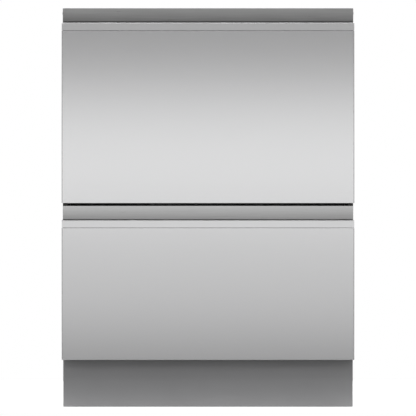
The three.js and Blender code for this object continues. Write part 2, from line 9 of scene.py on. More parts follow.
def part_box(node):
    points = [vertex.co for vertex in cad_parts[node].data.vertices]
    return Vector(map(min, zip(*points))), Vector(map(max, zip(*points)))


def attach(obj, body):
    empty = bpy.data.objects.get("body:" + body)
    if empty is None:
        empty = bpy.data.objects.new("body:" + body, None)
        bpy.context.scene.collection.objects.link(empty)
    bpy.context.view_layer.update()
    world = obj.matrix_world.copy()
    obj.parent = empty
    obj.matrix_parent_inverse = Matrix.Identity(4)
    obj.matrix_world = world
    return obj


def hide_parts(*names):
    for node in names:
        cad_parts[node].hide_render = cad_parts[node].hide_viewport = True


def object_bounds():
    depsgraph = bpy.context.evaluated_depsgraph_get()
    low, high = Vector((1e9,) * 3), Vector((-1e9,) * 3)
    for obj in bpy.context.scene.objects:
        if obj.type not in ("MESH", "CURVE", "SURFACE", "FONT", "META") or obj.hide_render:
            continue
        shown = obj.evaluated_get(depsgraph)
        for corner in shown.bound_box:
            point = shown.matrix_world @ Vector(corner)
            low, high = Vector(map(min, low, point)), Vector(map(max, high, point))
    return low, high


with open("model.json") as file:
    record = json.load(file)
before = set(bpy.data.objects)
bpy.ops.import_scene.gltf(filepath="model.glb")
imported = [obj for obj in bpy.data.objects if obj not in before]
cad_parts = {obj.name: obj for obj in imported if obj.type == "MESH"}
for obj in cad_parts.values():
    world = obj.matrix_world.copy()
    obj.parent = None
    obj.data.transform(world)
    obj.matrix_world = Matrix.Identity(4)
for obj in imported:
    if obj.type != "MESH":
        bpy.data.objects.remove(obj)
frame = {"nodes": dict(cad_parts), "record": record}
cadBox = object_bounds()
mm = 0.001  # pieces are drawn in millimetres and brought to metres when they are finished
print("frame loaded:", len(frame["nodes"]), "nodes")


def boxOf(node):  # a node's lowest and highest corners, in millimetres
    low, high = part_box(node)
    return low / mm, high / mm


def bodyOf(node):
    bodies = frame["record"]["behaviour"]["bodies"]
    return next(body for body, nodes in bodies.items() if node in nodes)


class Drawer:
    def __init__(self, name):
        self.name = name
        self.doorTop = self.box("handle")[1].z
        self.rim = self.box("tub")[1].z

    def named(self, piece):
        return f"{self.name}_{piece}"

    def box(self, node):
        return boxOf(self.named(node))

    def finish(self, bm, piece, finish, node=None, body="drawer", sharp=35):
        finishPiece(bm, self.named(piece), finish, node and self.named(node), self.named(body), sharp)

    def ease(self, node, piece, finish, offset):
        easeNode(self.named(node), self.named(piece), finish, offset, 2)


drawers = [Drawer("upper"), Drawer("lower")]
sides = {"left": -1, "right": 1}
frontY = cadBox[0].y / mm
backY = cadBox[1].y / mm
topZ = cadBox[1].z / mm
doorHalf = cadBox[1].x / mm
chassisHalf = boxOf("chassis_top")[1].x
chassisFront = boxOf("chassis_top")[0].y


# camera: square on to the front, level with the middle of the machine

view = {"distance": 10.0, "imageSide": 416, "mmPerPixel": 2.047, "height": 0.410, "sensor": 36, "clip": 100}
cameraData = bpy.data.cameras.new("camera")
cameraData.sensor_width = view["sensor"]
cameraData.lens = view["sensor"] * view["distance"] / (view["imageSide"] * view["mmPerPixel"] * mm)
cameraData.clip_end = view["clip"]
camera = bpy.data.objects.new("camera", cameraData)
camera.location = (0, frontY * mm - view["distance"], view["height"])
camera.rotation_euler = (radians(90), 0, 0)
bpy.context.scene.collection.objects.link(camera)
bpy.context.scene.camera = camera
bpy.context.scene.view_settings.view_transform = "Standard"
print("camera placed")


# shader nodes written as sums

class Signal:  # a node's output that takes part in sums
    def __init__(self, recipe, socket):
        self.recipe = recipe
        self.socket = socket

    def combine(self, operation, first, second):
        return self.recipe.node("ShaderNodeMath", {"operation": operation}, {0: first, 1: second})

    def __add__(self, other):
        return self.combine("ADD", self, other)

    def __sub__(self, other):
        return self.combine("SUBTRACT", self, other)

    def __rsub__(self, other):
        return self.combine("SUBTRACT", other, self)

    def __mul__(self, other):
        return self.combine("MULTIPLY", self, other)

    __radd__ = __add__
    __rmul__ = __mul__

    def swing(self, width):  # a pattern between 0 and 1, brought to both sides of nothing
        return (self - 0.5) * width


class Recipe:  # one material's nodes
    def __init__(self, name):
        self.material = bpy.data.materials.new(name)
        self.material.use_nodes = True
        self.tree = self.material.node_tree
        self.tree.nodes.clear()

    def node(self, kind, settings=None, inputs=None, output=0):
        made = self.tree.nodes.new(kind)
        for key, value in (settings or {}).items():
            setattr(made, key, value)
        for key, value in (inputs or {}).items():
            if isinstance(value, Signal):
                self.tree.links.new(value.socket, made.inputs[key])
            else:
                made.inputs[key].default_value = value
        return Signal(self, made.outputs[output] if made.outputs else None)

    def place(self, stretch=(1, 1, 1)):
        spot = self.node("ShaderNodeTexCoord", output="Object")
        return self.node("ShaderNodeMapping", inputs={"Vector": spot, "Scale": stretch})

    def noise(self, scale, detail=2.0, stretch=(1, 1, 1), roughness=0.5):
        inputs = {"Vector": self.place(stretch), "Scale": scale, "Detail": detail, "Roughness": roughness}
        return self.node("ShaderNodeTexNoise", inputs=inputs)

    def between(self, amount, first, second):
        inputs = {0: amount, 6: (*first, 1), 7: (*second, 1)}
        return self.node("ShaderNodeMix", {"data_type": "RGBA"}, inputs, output=2)

    def toned(self, amount, colour, dark, light):  # one colour, from a darker to a lighter shade of it
        return self.between(amount, shade(colour, dark), shade(colour, light))

    def bump(self, height, strength, distance):
        inputs = {"Height": height, "Strength": strength, "Distance": distance}
        return self.node("ShaderNodeBump", inputs=inputs)

    def surface(self, sockets):
        shader = self.node("ShaderNodeBsdfPrincipled", inputs=sockets)
        self.node("ShaderNodeOutputMaterial", inputs={"Surface": shader})
        return self.material


def shade(colour, factor):
    return tuple(channel * factor for channel in colour)


# finishes: stretches and scales are per metre, depths in metres

brushing = {"detail": 3, "streakStretch": 0.14, "streakDetail": 2, "patchScale": 6, "depth": 0.00005}


def brushedMetal(name, colour, rough, grain, contrast=0.05, wave=0.16, relief=0.12, mottle=0.04, streak=0.1):
    recipe = Recipe(name)
    lines = recipe.noise(1, brushing["detail"], grain)
    streaks = recipe.noise(1, brushing["streakDetail"], [axis * brushing["streakStretch"] for axis in grain])
    patches = recipe.noise(brushing["patchScale"], 3)
    tone = lines * (1 - streak) + streaks * streak
    return recipe.surface({
        "Base Color": recipe.toned(tone, colour, 1 - contrast, 1 + contrast),
        "Metallic": 1.0,
        "Roughness": rough + lines.swing(wave) + patches.swing(mottle),
        "Normal": recipe.bump(lines, relief, brushing["depth"]),
    })


bandPaintedShade = {  # a brushed strip with painted shade: its colour darkens from its top down into the recess behind the lip, and the lower drawer's copy is painted lighter than the upper one's, as if lit more
    "dark": {"upper": 0.25, "lower": 0.3}, "light": {"upper": 0.43, "lower": 0.5}, "tall": 26,
    "lines": (14, 260, 420), "lineTone": 0.45, "streaks": (2, 40, 60), "streakTone": 0.35,
    "rough": 0.3, "wave": 0.12, "relief": 0.06,
}


def shadedBandMetal(drawer):
    values = bandPaintedShade
    recipe = Recipe(f"{drawer.name} band steel")
    lines = recipe.noise(1, brushing["detail"], values["lines"])
    streaks = recipe.noise(1, brushing["streakDetail"], values["streaks"])
    spot = recipe.node("ShaderNodeTexCoord", output="Object")
    height = recipe.node("ShaderNodeSeparateXYZ", inputs={"Vector": spot}, output="Z")
    # painted shade: the base colour runs from dark at the band's foot to light at its top
    levels = {"From Min": (drawer.doorTop - values["tall"]) * mm, "From Max": drawer.doorTop * mm}
    paintedShade = recipe.node("ShaderNodeMapRange", inputs={"Value": height, **levels})
    tone = paintedShade + lines.swing(values["lineTone"]) + streaks.swing(values["streakTone"])
    return recipe.surface({
        "Base Color": recipe.between(tone, *((values[end][drawer.name],) * 3 for end in ("dark", "light"))),
        "Metallic": 1.0,
        "Roughness": values["rough"] + lines.swing(values["wave"]),
        "Normal": recipe.bump(lines, values["relief"], brushing["depth"]),
    })


zinc = {
    "flakeScale": 75, "warpScale": 40, "flakeShare": 0.7, "warpShare": 0.3, "dark": 0.86, "light": 1.1,
    "wave": 0.16, "relief": 0.05, "depth": 0.0004,
}


def spangledZinc(name, colour, rough):
    recipe = Recipe(name)
    warp = recipe.noise(zinc["warpScale"])
    inputs = {"Vector": recipe.place(), "Scale": zinc["flakeScale"]}
    cells = recipe.node("ShaderNodeTexVoronoi", {"feature": "F1"}, inputs, output="Color")
    flake = recipe.node("ShaderNodeSeparateColor", inputs={"Color": cells})
    tone = flake * zinc["flakeShare"] + warp * zinc["warpShare"]
    return recipe.surface({
        "Base Color": recipe.toned(tone, colour, zinc["dark"], zinc["light"]),
        "Metallic": 1.0,
        "Roughness": rough + flake.swing(zinc["wave"]),
        "Normal": recipe.bump(warp, zinc["relief"], zinc["depth"]),
    })


moulding = {
    "flowScale": 9, "flowShare": 0.6, "grainShare": 0.4, "dark": 0.88, "light": 1.12, "grainWave": 0.1,
    "scuffScale": 45, "scuffStretch": (1, 1, 0.3), "scuffWave": 0.12, "coatRough": 0.08, "depth": 0.0002,
}


def moulded(name, colour, rough, grain=900, relief=0.06, coat=0.0):
    recipe = Recipe(name)
    leather = recipe.noise(grain)
    flow = recipe.noise(moulding["flowScale"], 3)
    scuffs = recipe.noise(moulding["scuffScale"], 4, moulding["scuffStretch"], 0.7)
    tone = flow * moulding["flowShare"] + leather * moulding["grainShare"]
    return recipe.surface({
        "Base Color": recipe.toned(tone, colour, moulding["dark"], moulding["light"]),
        "Roughness": rough + leather.swing(moulding["grainWave"]) + scuffs.swing(moulding["scuffWave"]),
        "Coat Weight": coat,
        "Coat Roughness": moulding["coatRough"],
        "Normal": recipe.bump(leather, relief, moulding["depth"]),
    })


rubber = {
    "poreScale": 1400, "bloomScale": 14, "dark": 0.8, "light": 1.5, "rough": 0.72, "wave": 0.2,
    "relief": 0.15, "depth": 0.0002,
}


def rubbery(name, colour):
    recipe = Recipe(name)
    pores = recipe.noise(rubber["poreScale"])
    bloom = recipe.noise(rubber["bloomScale"], 3)
    return recipe.surface({
        "Base Color": recipe.toned(bloom, colour, rubber["dark"], rubber["light"]),
        "Roughness": rubber["rough"] + pores.swing(rubber["wave"]),
        "Normal": recipe.bump(pores, rubber["relief"], rubber["depth"]),
    })


alongFront = (9, 700, 1100)  # brushing that runs across the doors
finishes = {
    "door_steel": brushedMetal("door steel", (0.62, 0.62, 0.625), 0.264, alongFront, contrast=0.012,
                               wave=0.012, relief=0.01, mottle=0.004),
    "lip_steel": brushedMetal("lip steel", (0.62, 0.62, 0.625), 0.305, alongFront, contrast=0.02,
                              wave=0.03, relief=0.02, mottle=0.01),
    "kick_steel": moulded("kick plate paint", (0.28, 0.28, 0.285), 0.45, 700, 0.03),
    "galvanised_sheet": spangledZinc("galvanised sheet", (0.58, 0.6, 0.62), 0.42),
    "runner_steel": brushedMetal("runner zinc", (0.66, 0.67, 0.69), 0.24, (700, 12, 700)),
    "filter_steel": brushedMetal("filter steel", (0.68, 0.69, 0.7), 0.28, (240, 240, 240)),
    "screw_steel": brushedMetal("screw zinc", (0.6, 0.61, 0.62), 0.3, (400, 400, 400)),
    "brass": brushedMetal("turned brass", (0.66, 0.5, 0.24), 0.28, (900, 900, 900)),
    "black_steel": moulded("black enamel", (0.02, 0.02, 0.02), 0.45, 600),
    "coated_wire": moulded("nylon coat", (0.34, 0.37, 0.4), 0.38, 700, 0.04),
    "tub_plastic": moulded("tub plastic", (0.5, 0.52, 0.54), 0.42, 900, 0.05),
    "lid_plastic": moulded("lid plastic", (0.42, 0.44, 0.46), 0.45),
    "liner_plastic": moulded("liner plastic", (0.05, 0.05, 0.053), 0.55),
    # painted shade: the scoop is near black, so the strip of it seen just above the lip stands for the shade
    # deep in the handle recess
    "scoop_plastic": moulded("scoop plastic with painted shade", (0.03, 0.03, 0.031), 0.5),
    "control_gloss": moulded("control gloss", (0.008, 0.008, 0.009), 0.14, 300, 0.01, coat=0.5),
    "display_glass": moulded("display glass", (0.014, 0.017, 0.02), 0.06, 120, 0.0, coat=1.0),
    "mark_paint": moulded("mark paint", (0.62, 0.63, 0.64), 0.5),
    "button_plastic": moulded("button plastic", (0.6, 0.61, 0.62), 0.32, 900, 0.03),
    "arm_plastic": moulded("arm plastic", (0.11, 0.13, 0.15), 0.42),
    "pump_plastic": moulded("pump plastic", (0.016, 0.017, 0.018), 0.5),
    "actuator_plastic": moulded("actuator plastic", (0.7, 0.7, 0.67), 0.5),
    "seal_rubber": rubbery("seal rubber", (0.03, 0.03, 0.031)),
    "foot_plastic": moulded("foot plastic", (0.022, 0.023, 0.024), 0.6, 700, 0.1),
    "base_plastic": moulded("base plastic", (0.09, 0.1, 0.105), 0.6, 700, 0.1),
    "service_plastic": moulded("service plastic", (0.15, 0.16, 0.17), 0.55, 700, 0.08),
}
# each drawer's band steel, with its own painted shade
for drawer in drawers:
    finishes[drawer.named("band")] = shadedBandMetal(drawer)
print("finishes made:", len(finishes))


# shaping, all in millimetres

sunk = 0.5  # how far a rib or a rail is let into the wall that carries it


def evenly(first, last, count):
    return [first + (last - first) * i / (count - 1) for i in range(count)]


def arc(centre, radius, start, stop, steps=6):
    turns = [radians(turn) for turn in evenly(start, stop, steps + 1)]
    return [(centre[0] + radius * cos(turn), centre[1] + radius * sin(turn)) for turn in turns]


def rod(radius, z0, z1):  # outlines for the lathe: radius and height
    return [(0, z0), (radius, z0), (radius, z1), (0, z1)]


def closed(outline):
    return [*outline, outline[0]]


def washer(inner, outer, z0, z1):
    return closed([(inner, z0), (inner, z1), (outer, z1), (outer, z0)])


def roundOff(bm, parts, offset, segments=2, affect="EDGES"):
    return bmesh.ops.bevel(bm, geom=list(parts), offset=offset, offset_type="OFFSET", segments=segments,
                           profile=0.5, affect=affect, clamp_overlap=True, material=-1)


def addBlock(bm, low, high, rounding=0.0, segments=2):
    verts = bmesh.ops.create_cube(bm, size=1)["verts"]
    bmesh.ops.scale(bm, vec=[b - a for a, b in zip(low, high)], verts=verts)
    bmesh.ops.translate(bm, vec=[(a + b) / 2 for a, b in zip(low, high)], verts=verts)
    if rounding:
        roundOff(bm, {edge for vert in verts for edge in vert.link_edges}, rounding, segments)


def sideBlock(bm, side, near, far, y0, y1, z0, z1, rounding=0.0):  # near and far from the middle
    xs = sorted((side * near, side * far))
    addBlock(bm, (xs[0], y0, z0), (xs[1], y1, z1), rounding)


def facing(bm, way, least=0.9):  # the faces that look one way
    return [face for face in bm.faces if face.normal.dot(way) > least]


def newVerts(bm, known):
    return [vert for vert in bm.verts if vert not in known]


def thicken(bm, faces, travel):  # a skin drawn out into a solid
    drawn = bmesh.ops.extrude_face_region(bm, geom=faces, use_keep_orig=True)["geom"]
    moved = [part for part in drawn if isinstance(part, bmesh.types.BMVert)]
    bmesh.ops.translate(bm, vec=travel, verts=moved)


def alongX(bm, outline, half):  # an outline in Y and Z, drawn out to both sides
    face = bm.faces.new([bm.verts.new((-half, y, z)) for y, z in outline])
    thicken(bm, [face], (2 * half, 0, 0))


turnTo = {
    "X": Matrix.Rotation(pi / 2, 3, "Y"), "-X": Matrix.Rotation(-pi / 2, 3, "Y"),
    "Y": Matrix.Rotation(-pi / 2, 3, "X"), "Z": Matrix.Identity(3),
}


def addLathe(bm, outline, centre=(0, 0, 0), steps=24, axis="Z"):
    known = set(bm.verts)
    verts = [bm.verts.new((radius, 0, height)) for radius, height in outline]
    edges = [bm.edges.new(pair) for pair in zip(verts, verts[1:])]
    bmesh.ops.spin(bm, geom=verts + edges, cent=(0, 0, 0), axis=(0, 0, 1), angle=2 * pi,
                   steps=steps, use_merge=True)
    bmesh.ops.remove_doubles(bm, verts=newVerts(bm, known), dist=1e-3)
    made = newVerts(bm, known)
    bmesh.ops.rotate(bm, cent=(0, 0, 0), matrix=turnTo[axis], verts=made)
    bmesh.ops.translate(bm, vec=centre, verts=made)


def addScrew(bm, centre, axis, radius=3.2, head=1.2):  # a round head with a recess for the driver
    flat = 0.35 * head
    outline = [(0, flat), (0.45 * radius, flat), (0.52 * radius, head), (0.78 * radius, 0.9 * head),
               (radius, flat), (radius, -0.3), (0, -0.3)]
    addLathe(bm, outline, centre, 10, axis)


def openFace(bm, face):  # a face's own edges, with the face taken away
    edges = list(face.edges)
    bmesh.ops.delete(bm, geom=[face], context="FACES_ONLY")
    return edges


def roundedRing(bm, low, high, inset, corner, z, segments=6):  # a rectangle drawn in by the inset
    x0, y0, x1, y1 = low[0] + inset, low[1] + inset, high[0] - inset, high[1] - inset
    verts = bmesh.ops.create_grid(bm, x_segments=1, y_segments=1, size=0.5)["verts"]
    bmesh.ops.scale(bm, vec=(x1 - x0, y1 - y0, 1), verts=verts)
    bmesh.ops.translate(bm, vec=((x0 + x1) / 2, (y0 + y1) / 2, z), verts=verts)
    made = roundOff(bm, verts, corner, segments, "VERTICES")
    return openFace(bm, made["verts"][0].link_faces[0])


def circleRing(bm, radius, centre, z, segments=28):
    verts = bmesh.ops.create_circle(bm, cap_ends=False, radius=radius, segments=segments)["verts"]
    bmesh.ops.translate(bm, vec=(centre[0], centre[1], z), verts=verts)
    return list({edge for vert in verts for edge in vert.link_edges})


def loft(bm, rings, ends="open"):  # ends are open, capped or joined
    pairs = list(zip(rings, rings[1:]))
    if ends == "joined":
        pairs.append((rings[-1], rings[0]))
    for first, second in pairs:
        bmesh.ops.bridge_loops(bm, edges=first + second)
    if ends == "capped":
        for ring in (rings[0], rings[-1]):
            bmesh.ops.edgeloop_fill(bm, edges=ring)


def fillFlat(bm, edges):  # a plate between an outline and the holes in it
    made = bmesh.ops.triangle_fill(bm, edges=edges, use_beauty=True)["geom"]
    return [part for part in made if isinstance(part, bmesh.types.BMFace)]


def standUp(bm):  # what was drawn in X and Y faces -Y: Y becomes Z, and a height becomes -Y
    bmesh.ops.rotate(bm, cent=(0, 0, 0), matrix=Matrix.Rotation(pi / 2, 3, "X"), verts=bm.verts)


def filleted(points, radius, steps=4):  # a path with its corners rounded
    path = [Vector(points[0])]
    for before, corner, after in zip(points, points[1:], points[2:]):
        corner = Vector(corner)
        arrive = (Vector(before) - corner).normalized() * radius
        leave = (Vector(after) - corner).normalized() * radius
        path += [corner + arrive * (1 - t) ** 2 + leave * t ** 2 for t in evenly(0, 1, steps + 1)]
    return path + [Vector(points[-1])]


def addWires(bm, paths, thickness, bend=6.0):
    data = bpy.data.curves.new("wires", "CURVE")
    data.dimensions = "3D"
    data.bevel_depth = thickness / 2
    data.bevel_resolution = 1
    data.use_fill_caps = True
    for points in paths:
        route = filleted(points, bend) if len(points) > 2 else points
        spline = data.splines.new("POLY")
        spline.points.add(len(route) - 1)
        for point, place in zip(spline.points, route):
            point.co = (*place, 1)
    shape = bpy.data.objects.new("wires", data)
    bpy.context.scene.collection.objects.link(shape)
    bm.from_mesh(shape.to_mesh())
    bpy.data.objects.remove(shape)
    bpy.data.curves.remove(data)


def finishPiece(bm, name, finish, node=None, body="chassis", sharp=35):  # rides where its node does
    bmesh.ops.remove_doubles(bm, verts=bm.verts, dist=1e-4)
    bmesh.ops.recalc_face_normals(bm, faces=bm.faces)
    bmesh.ops.scale(bm, vec=(mm, mm, mm), verts=bm.verts)
    mesh = bpy.data.meshes.new(name)
    bm.to_mesh(mesh)
    bm.free()
    mesh.polygons.foreach_set("use_smooth", [True] * len(mesh.polygons))
    mesh.set_sharp_from_angle(angle=radians(sharp))
    mesh.materials.append(finishes[finish])
    piece = bpy.data.objects.new(name, mesh)
    piece.modifiers.new("flat faces", "WEIGHTED_NORMAL").keep_sharp = True
    bpy.context.scene.collection.objects.link(piece)
    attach(piece, bodyOf(node) if node else body)
    if node:
        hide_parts(node)


def easeNode(node, name, finish, offset=0.4, segments=1):  # a node's solid with its crisp edges eased
    bm = bmesh.new()
    bm.from_mesh(frame["nodes"][node].data)
    bmesh.ops.scale(bm, vec=(1 / mm,) * 3, verts=bm.verts)
    bmesh.ops.remove_doubles(bm, verts=bm.verts, dist=0.01)
    bmesh.ops.dissolve_limit(bm, angle_limit=radians(1), verts=bm.verts, edges=bm.edges)
    crisp = [edge for edge in bm.edges if edge.is_manifold and edge.calc_face_angle() > radians(40)]
    roundOff(bm, crisp, offset, segments)
    finishPiece(bm, name, finish, node)


# doors

panelShape = {"skin": 1.0, "sideBend": 1.8, "endBend": 0.3, "near": 0.1}  # near: what counts as in line


def frontPanel(drawer):
    low, high = drawer.box("front_panel")
    near = panelShape["near"]
    bm = bmesh.new()
    addBlock(bm, low, high)
    bmesh.ops.delete(bm, geom=facing(bm, (0, 1, 0)), context="FACES")
    upright = [edge for edge in bm.edges if all(abs(vert.co.y - low.y) < near for vert in edge.verts)
               and abs(edge.verts[0].co.x - edge.verts[1].co.x) < near]
    roundOff(bm, upright, panelShape["sideBend"], 5)
    level = [edge for edge in bm.edges if edge.is_manifold and edge.calc_face_angle() > radians(60)
             and abs(edge.verts[0].co.z - edge.verts[1].co.z) < near]
    roundOff(bm, level, panelShape["endBend"], 4)
    bmesh.ops.recalc_face_normals(bm, faces=bm.faces)
    if max(bm.faces, key=lambda face: face.calc_area()).normal.y > 0:
        bmesh.ops.reverse_faces(bm, faces=bm.faces)
    bmesh.ops.solidify(bm, geom=bm.faces[:], thickness=panelShape["skin"])
    drawer.finish(bm, "door_skin", "door_steel", "front_panel")


grip = {  # heights from the top of the door
    "lipTop": -29.7, "lipBottom": -45, "lean": 0.9, "lipThick": 3.0, "lipSheet": 1.0, "hem": 3.0,
    "overlap": 0.4, "edge": 0.3, "bandSetBack": 24, "bandBottom": {"upper": -26.6, "lower": -28.6},
    "bandDrop": {"upper": 0, "lower": 0.6}, "bandSheet": 2.0, "seam": 0.1, "scoopFloor": -42,
    "scoopRound": 7.0, "scoopGap": 0.15, "hemGap": 0.2, "endWall": 3.0, "endMargin": 1,
}


def handle(drawer):
    top, edge, seam, endMargin = drawer.doorTop, grip["edge"], grip["seam"], grip["endMargin"]
    thick, sheet = grip["lipThick"], grip["lipSheet"]
    leanY = frontY + grip["lean"]
    bottom = top + grip["lipBottom"]
    hang = bottom - grip["overlap"]
    crown = (leanY + thick / 2, top + grip["lipTop"] - thick / 2)
    hemEnd = crown[1] - grip["hem"]
    lip = [
        (frontY + edge, hang), (frontY, hang + edge), *arc(crown, thick / 2, 180, 0, 8),
        (leanY + thick, hemEnd), (leanY + thick - sheet, hemEnd),
        *arc(crown, thick / 2 - sheet, 0, 180, 4),
        (frontY + sheet, bottom + 2 * edge), (frontY + sheet, hang),
    ]
    bm = bmesh.new()
    alongX(bm, lip, doorHalf)
    drawer.finish(bm, "handle_lip", "lip_steel")

    bandY = frontY + grip["bandSetBack"]
    bandBack = bandY + grip["bandSheet"]
    bandBottom = top + grip["bandBottom"][drawer.name]
    scoopFront, scoopBack = leanY + sheet + grip["scoopGap"], leanY + thick
    floor, curve = top + grip["scoopFloor"], grip["scoopRound"]
    scoopTop = hemEnd - grip["hemGap"]
    scoop = [
        (scoopFront, scoopTop), (scoopBack, scoopTop),
        *arc((scoopBack + curve, floor + curve), curve, 180, 270),
        *arc((bandY - curve, floor + curve), curve, 270, 360),
        (bandY, bandBottom), (bandBack, bandBottom), (bandBack, bottom), (scoopFront, bottom),
    ]
    bm = bmesh.new()
    alongX(bm, scoop, chassisHalf)
    for side in sides.values():
        sideBlock(bm, side, chassisHalf - grip["endWall"], chassisHalf, scoopBack - sunk, bandY - seam,
                  floor - endMargin, top + grip["lipTop"] - endMargin, 0.6)
    # the scoop's near-black finish is painted shade, seen as a dark line between the band and the lip
    drawer.finish(bm, "handle_scoop", "scoop_plastic")

    bm = bmesh.new()
    addBlock(bm, (-chassisHalf, bandY, bandBottom + seam),
             (chassisHalf, bandBack, top - grip["bandDrop"][drawer.name]), edge)
    drawer.finish(bm, "handle_band", drawer.named("band"), "handle")


linerShape = {
    "ease": 0.8, "screwInset": 10, "screwSeat": 0.3, "sideScrews": 4, "lowScrews": (-198, 242, 5),
    "belowLip": 12,
}


def innerDoor(drawer):
    drawer.ease("door_liner", "inner_door", "liner_plastic", linerShape["ease"])
    low, high = drawer.box("door_liner")
    inset = linerShape["screwInset"]
    top = drawer.doorTop + grip["lipBottom"] - linerShape["belowLip"]
    doorBack = drawer.box("control_strip")[0].y - linerShape["screwSeat"]
    bm = bmesh.new()
    for side in sides.values():
        for z in evenly(low.z + inset, top, linerShape["sideScrews"]):
            addScrew(bm, (side * (high.x - inset), doorBack, z), "Y")
    for x in evenly(*linerShape["lowScrews"]):
        addScrew(bm, (x, doorBack, low.z + inset), "Y")
    drawer.finish(bm, "door_screws", "screw_steel")


stripMarks = {
    "ease": 0.4, "window": (59.6, 6.6), "windowDeep": 0.8, "windowDrop": 0.12, "sunk": 0.2,
    "count": 6, "start": 82, "pitch": 11, "lampRadius": 1.1, "lampY": -3.5, "lampProud": 0.15,
    "barHalf": 2.8, "barY": (1.6, 2.4), "barProud": 0.12,
    "digits": (-18, 18, 4), "digitHalf": (2.6, 0.3), "digitDrop": 0.08,
}


def controlStrip(drawer):
    marks = stripMarks
    drawer.ease("control_strip", "control_panel", "control_gloss", marks["ease"])
    low, high = drawer.box("control_strip")
    y, top = (low.y + high.y) / 2, high.z
    under = top - marks["sunk"]
    half, across = marks["window"]
    bm = bmesh.new()
    addBlock(bm, (-half, y - across, top - marks["windowDeep"]),
             (half, y + across, top - marks["windowDrop"]), 0.3)
    drawer.finish(bm, "display_window", "display_glass")

    bm = bmesh.new()
    half, (barFront, barBack) = marks["barHalf"], marks["barY"]
    lamp = rod(marks["lampRadius"], -marks["sunk"], marks["lampProud"])
    for side in sides.values():
        for i in range(marks["count"]):
            x = side * (marks["start"] + i * marks["pitch"])
            addLathe(bm, lamp, (x, y + marks["lampY"], top), 12)
            addBlock(bm, (x - half, y + barFront, under),
                     (x + half, y + barBack, top + marks["barProud"]), 0.05, 1)
    half, across = marks["digitHalf"]
    for x in evenly(*marks["digits"]):  # bars of an idle clock behind the glass
        addBlock(bm, (x - half, y - across, under), (x + half, y + across, top - marks["digitDrop"]), 0.03, 1)
    drawer.finish(bm, "control_marks", "mark_paint")


buttonRings = [(0, None, 2.6), (0, -0.9, 2.6), (0.3, -0.25, 2.36), (0.9, 0, 1.88), (2.6, -0.3, 1.0)]
markFoot = -0.2  # marks start this far under the dished face of a button


def pushButton(drawer, name, mark):
    low, high = drawer.box(name)
    bm = bmesh.new()
    rings = []
    for inset, drop, corner in buttonRings:
        z = low.z if drop is None else high.z + drop
        rings.append(roundedRing(bm, low, high, inset, corner, z, 4))
    loft(bm, rings, "capped")
    drawer.finish(bm, f"{name}_cap", "button_plastic", name)
    bm = bmesh.new()
    mark(bm, (low.x + high.x) / 2, (low.y + high.y) / 2, high.z + buttonRings[-1][1])
    drawer.finish(bm, f"{name}_mark", "control_gloss", body=name)


def powerMark(bm, x, y, z):
    addLathe(bm, washer(1.5, 1.95, markFoot, 0.12), (x, y, z), 20)
    addBlock(bm, (x - 0.22, y + 0.4, z + markFoot), (x + 0.22, y + 2.5, z + 0.14), 0.05, 1)


def startMark(bm, x, y, z):
    triangle = ((-1.5, -2), (2, 0), (-1.5, 2))
    face = bm.faces.new([bm.verts.new((x + dx, y + dy, z + markFoot)) for dx, dy in triangle])
    thicken(bm, [face], (0, 0, 0.32))


for drawer in drawers:
    frontPanel(drawer)
    handle(drawer)
    innerDoor(drawer)
    controlStrip(drawer)
    pushButton(drawer, "power_button", powerMark)
    pushButton(drawer, "start_button", startMark)
print("doors made")


# tub: heights from its rim

tubShape = {
    "half": 262, "front": -222, "back": 248, "corner": 26, "wall": 4, "deep": 260, "footRound": 14,
    "rimOut": 6, "rimDrop": 4, "rimEdge": 0.6, "rimRound": 1.2, "mouthRound": 1.5,
    "sumpRadius": 100, "sumpDeep": 14, "sumpWall": 3, "sumpCentre": 20, "post": 14.8, "postTop": -243,
    "hubY": 13, "cornerSteps": 6, "roundSteps": 4,
}
tubFloor = tubShape["wall"] - tubShape["deep"]
sumpFloor = tubFloor - tubShape["sumpDeep"]
hubY = tubShape["hubY"]  # the spray arm, the filter and the pump turn round this


def planRing(bm, shape, inset, z, steps=6):  # a ring inside the plan of the tub, the lid or the seal
    low, high = (-shape["half"], shape["front"]), (shape["half"], shape["back"])
    return roundedRing(bm, low, high, inset, shape["corner"] - inset, z, steps)


def footBend(inset, radius, z):  # a wall's foot turning into the floor: inset and height
    turns = evenly(0, pi / 2, tubShape["roundSteps"] + 1)
    return [(inset + radius * (1 - sin(turn)), z + radius * (1 - cos(turn))) for turn in turns]


def openWall(bm, levels, low, high):  # a window through the two skins of the front wall
    def onWall(face):
        return any(all(abs(vert.co.y - y) < 0.01 for vert in face.verts) for y in levels)

    for spot, way in (((low[0], 0, 0), (1, 0, 0)), ((high[0], 0, 0), (1, 0, 0)),
                      ((0, 0, low[1]), (0, 0, 1)), ((0, 0, high[1]), (0, 0, 1))):
        faces = [face for face in bm.faces if onWall(face)]
        edges = {edge for face in faces for edge in face.edges}
        verts = {vert for face in faces for vert in face.verts}
        bmesh.ops.bisect_plane(bm, geom=[*faces, *edges, *verts], plane_co=spot, plane_no=way)
    window = [face for face in bm.faces if onWall(face)
              and low[0] < face.calc_center_median().x < high[0]
              and low[1] < face.calc_center_median().z < high[1]]
    loops = [edge for face in window for edge in openFace(bm, face)]
    bmesh.ops.bridge_loops(bm, edges=loops)


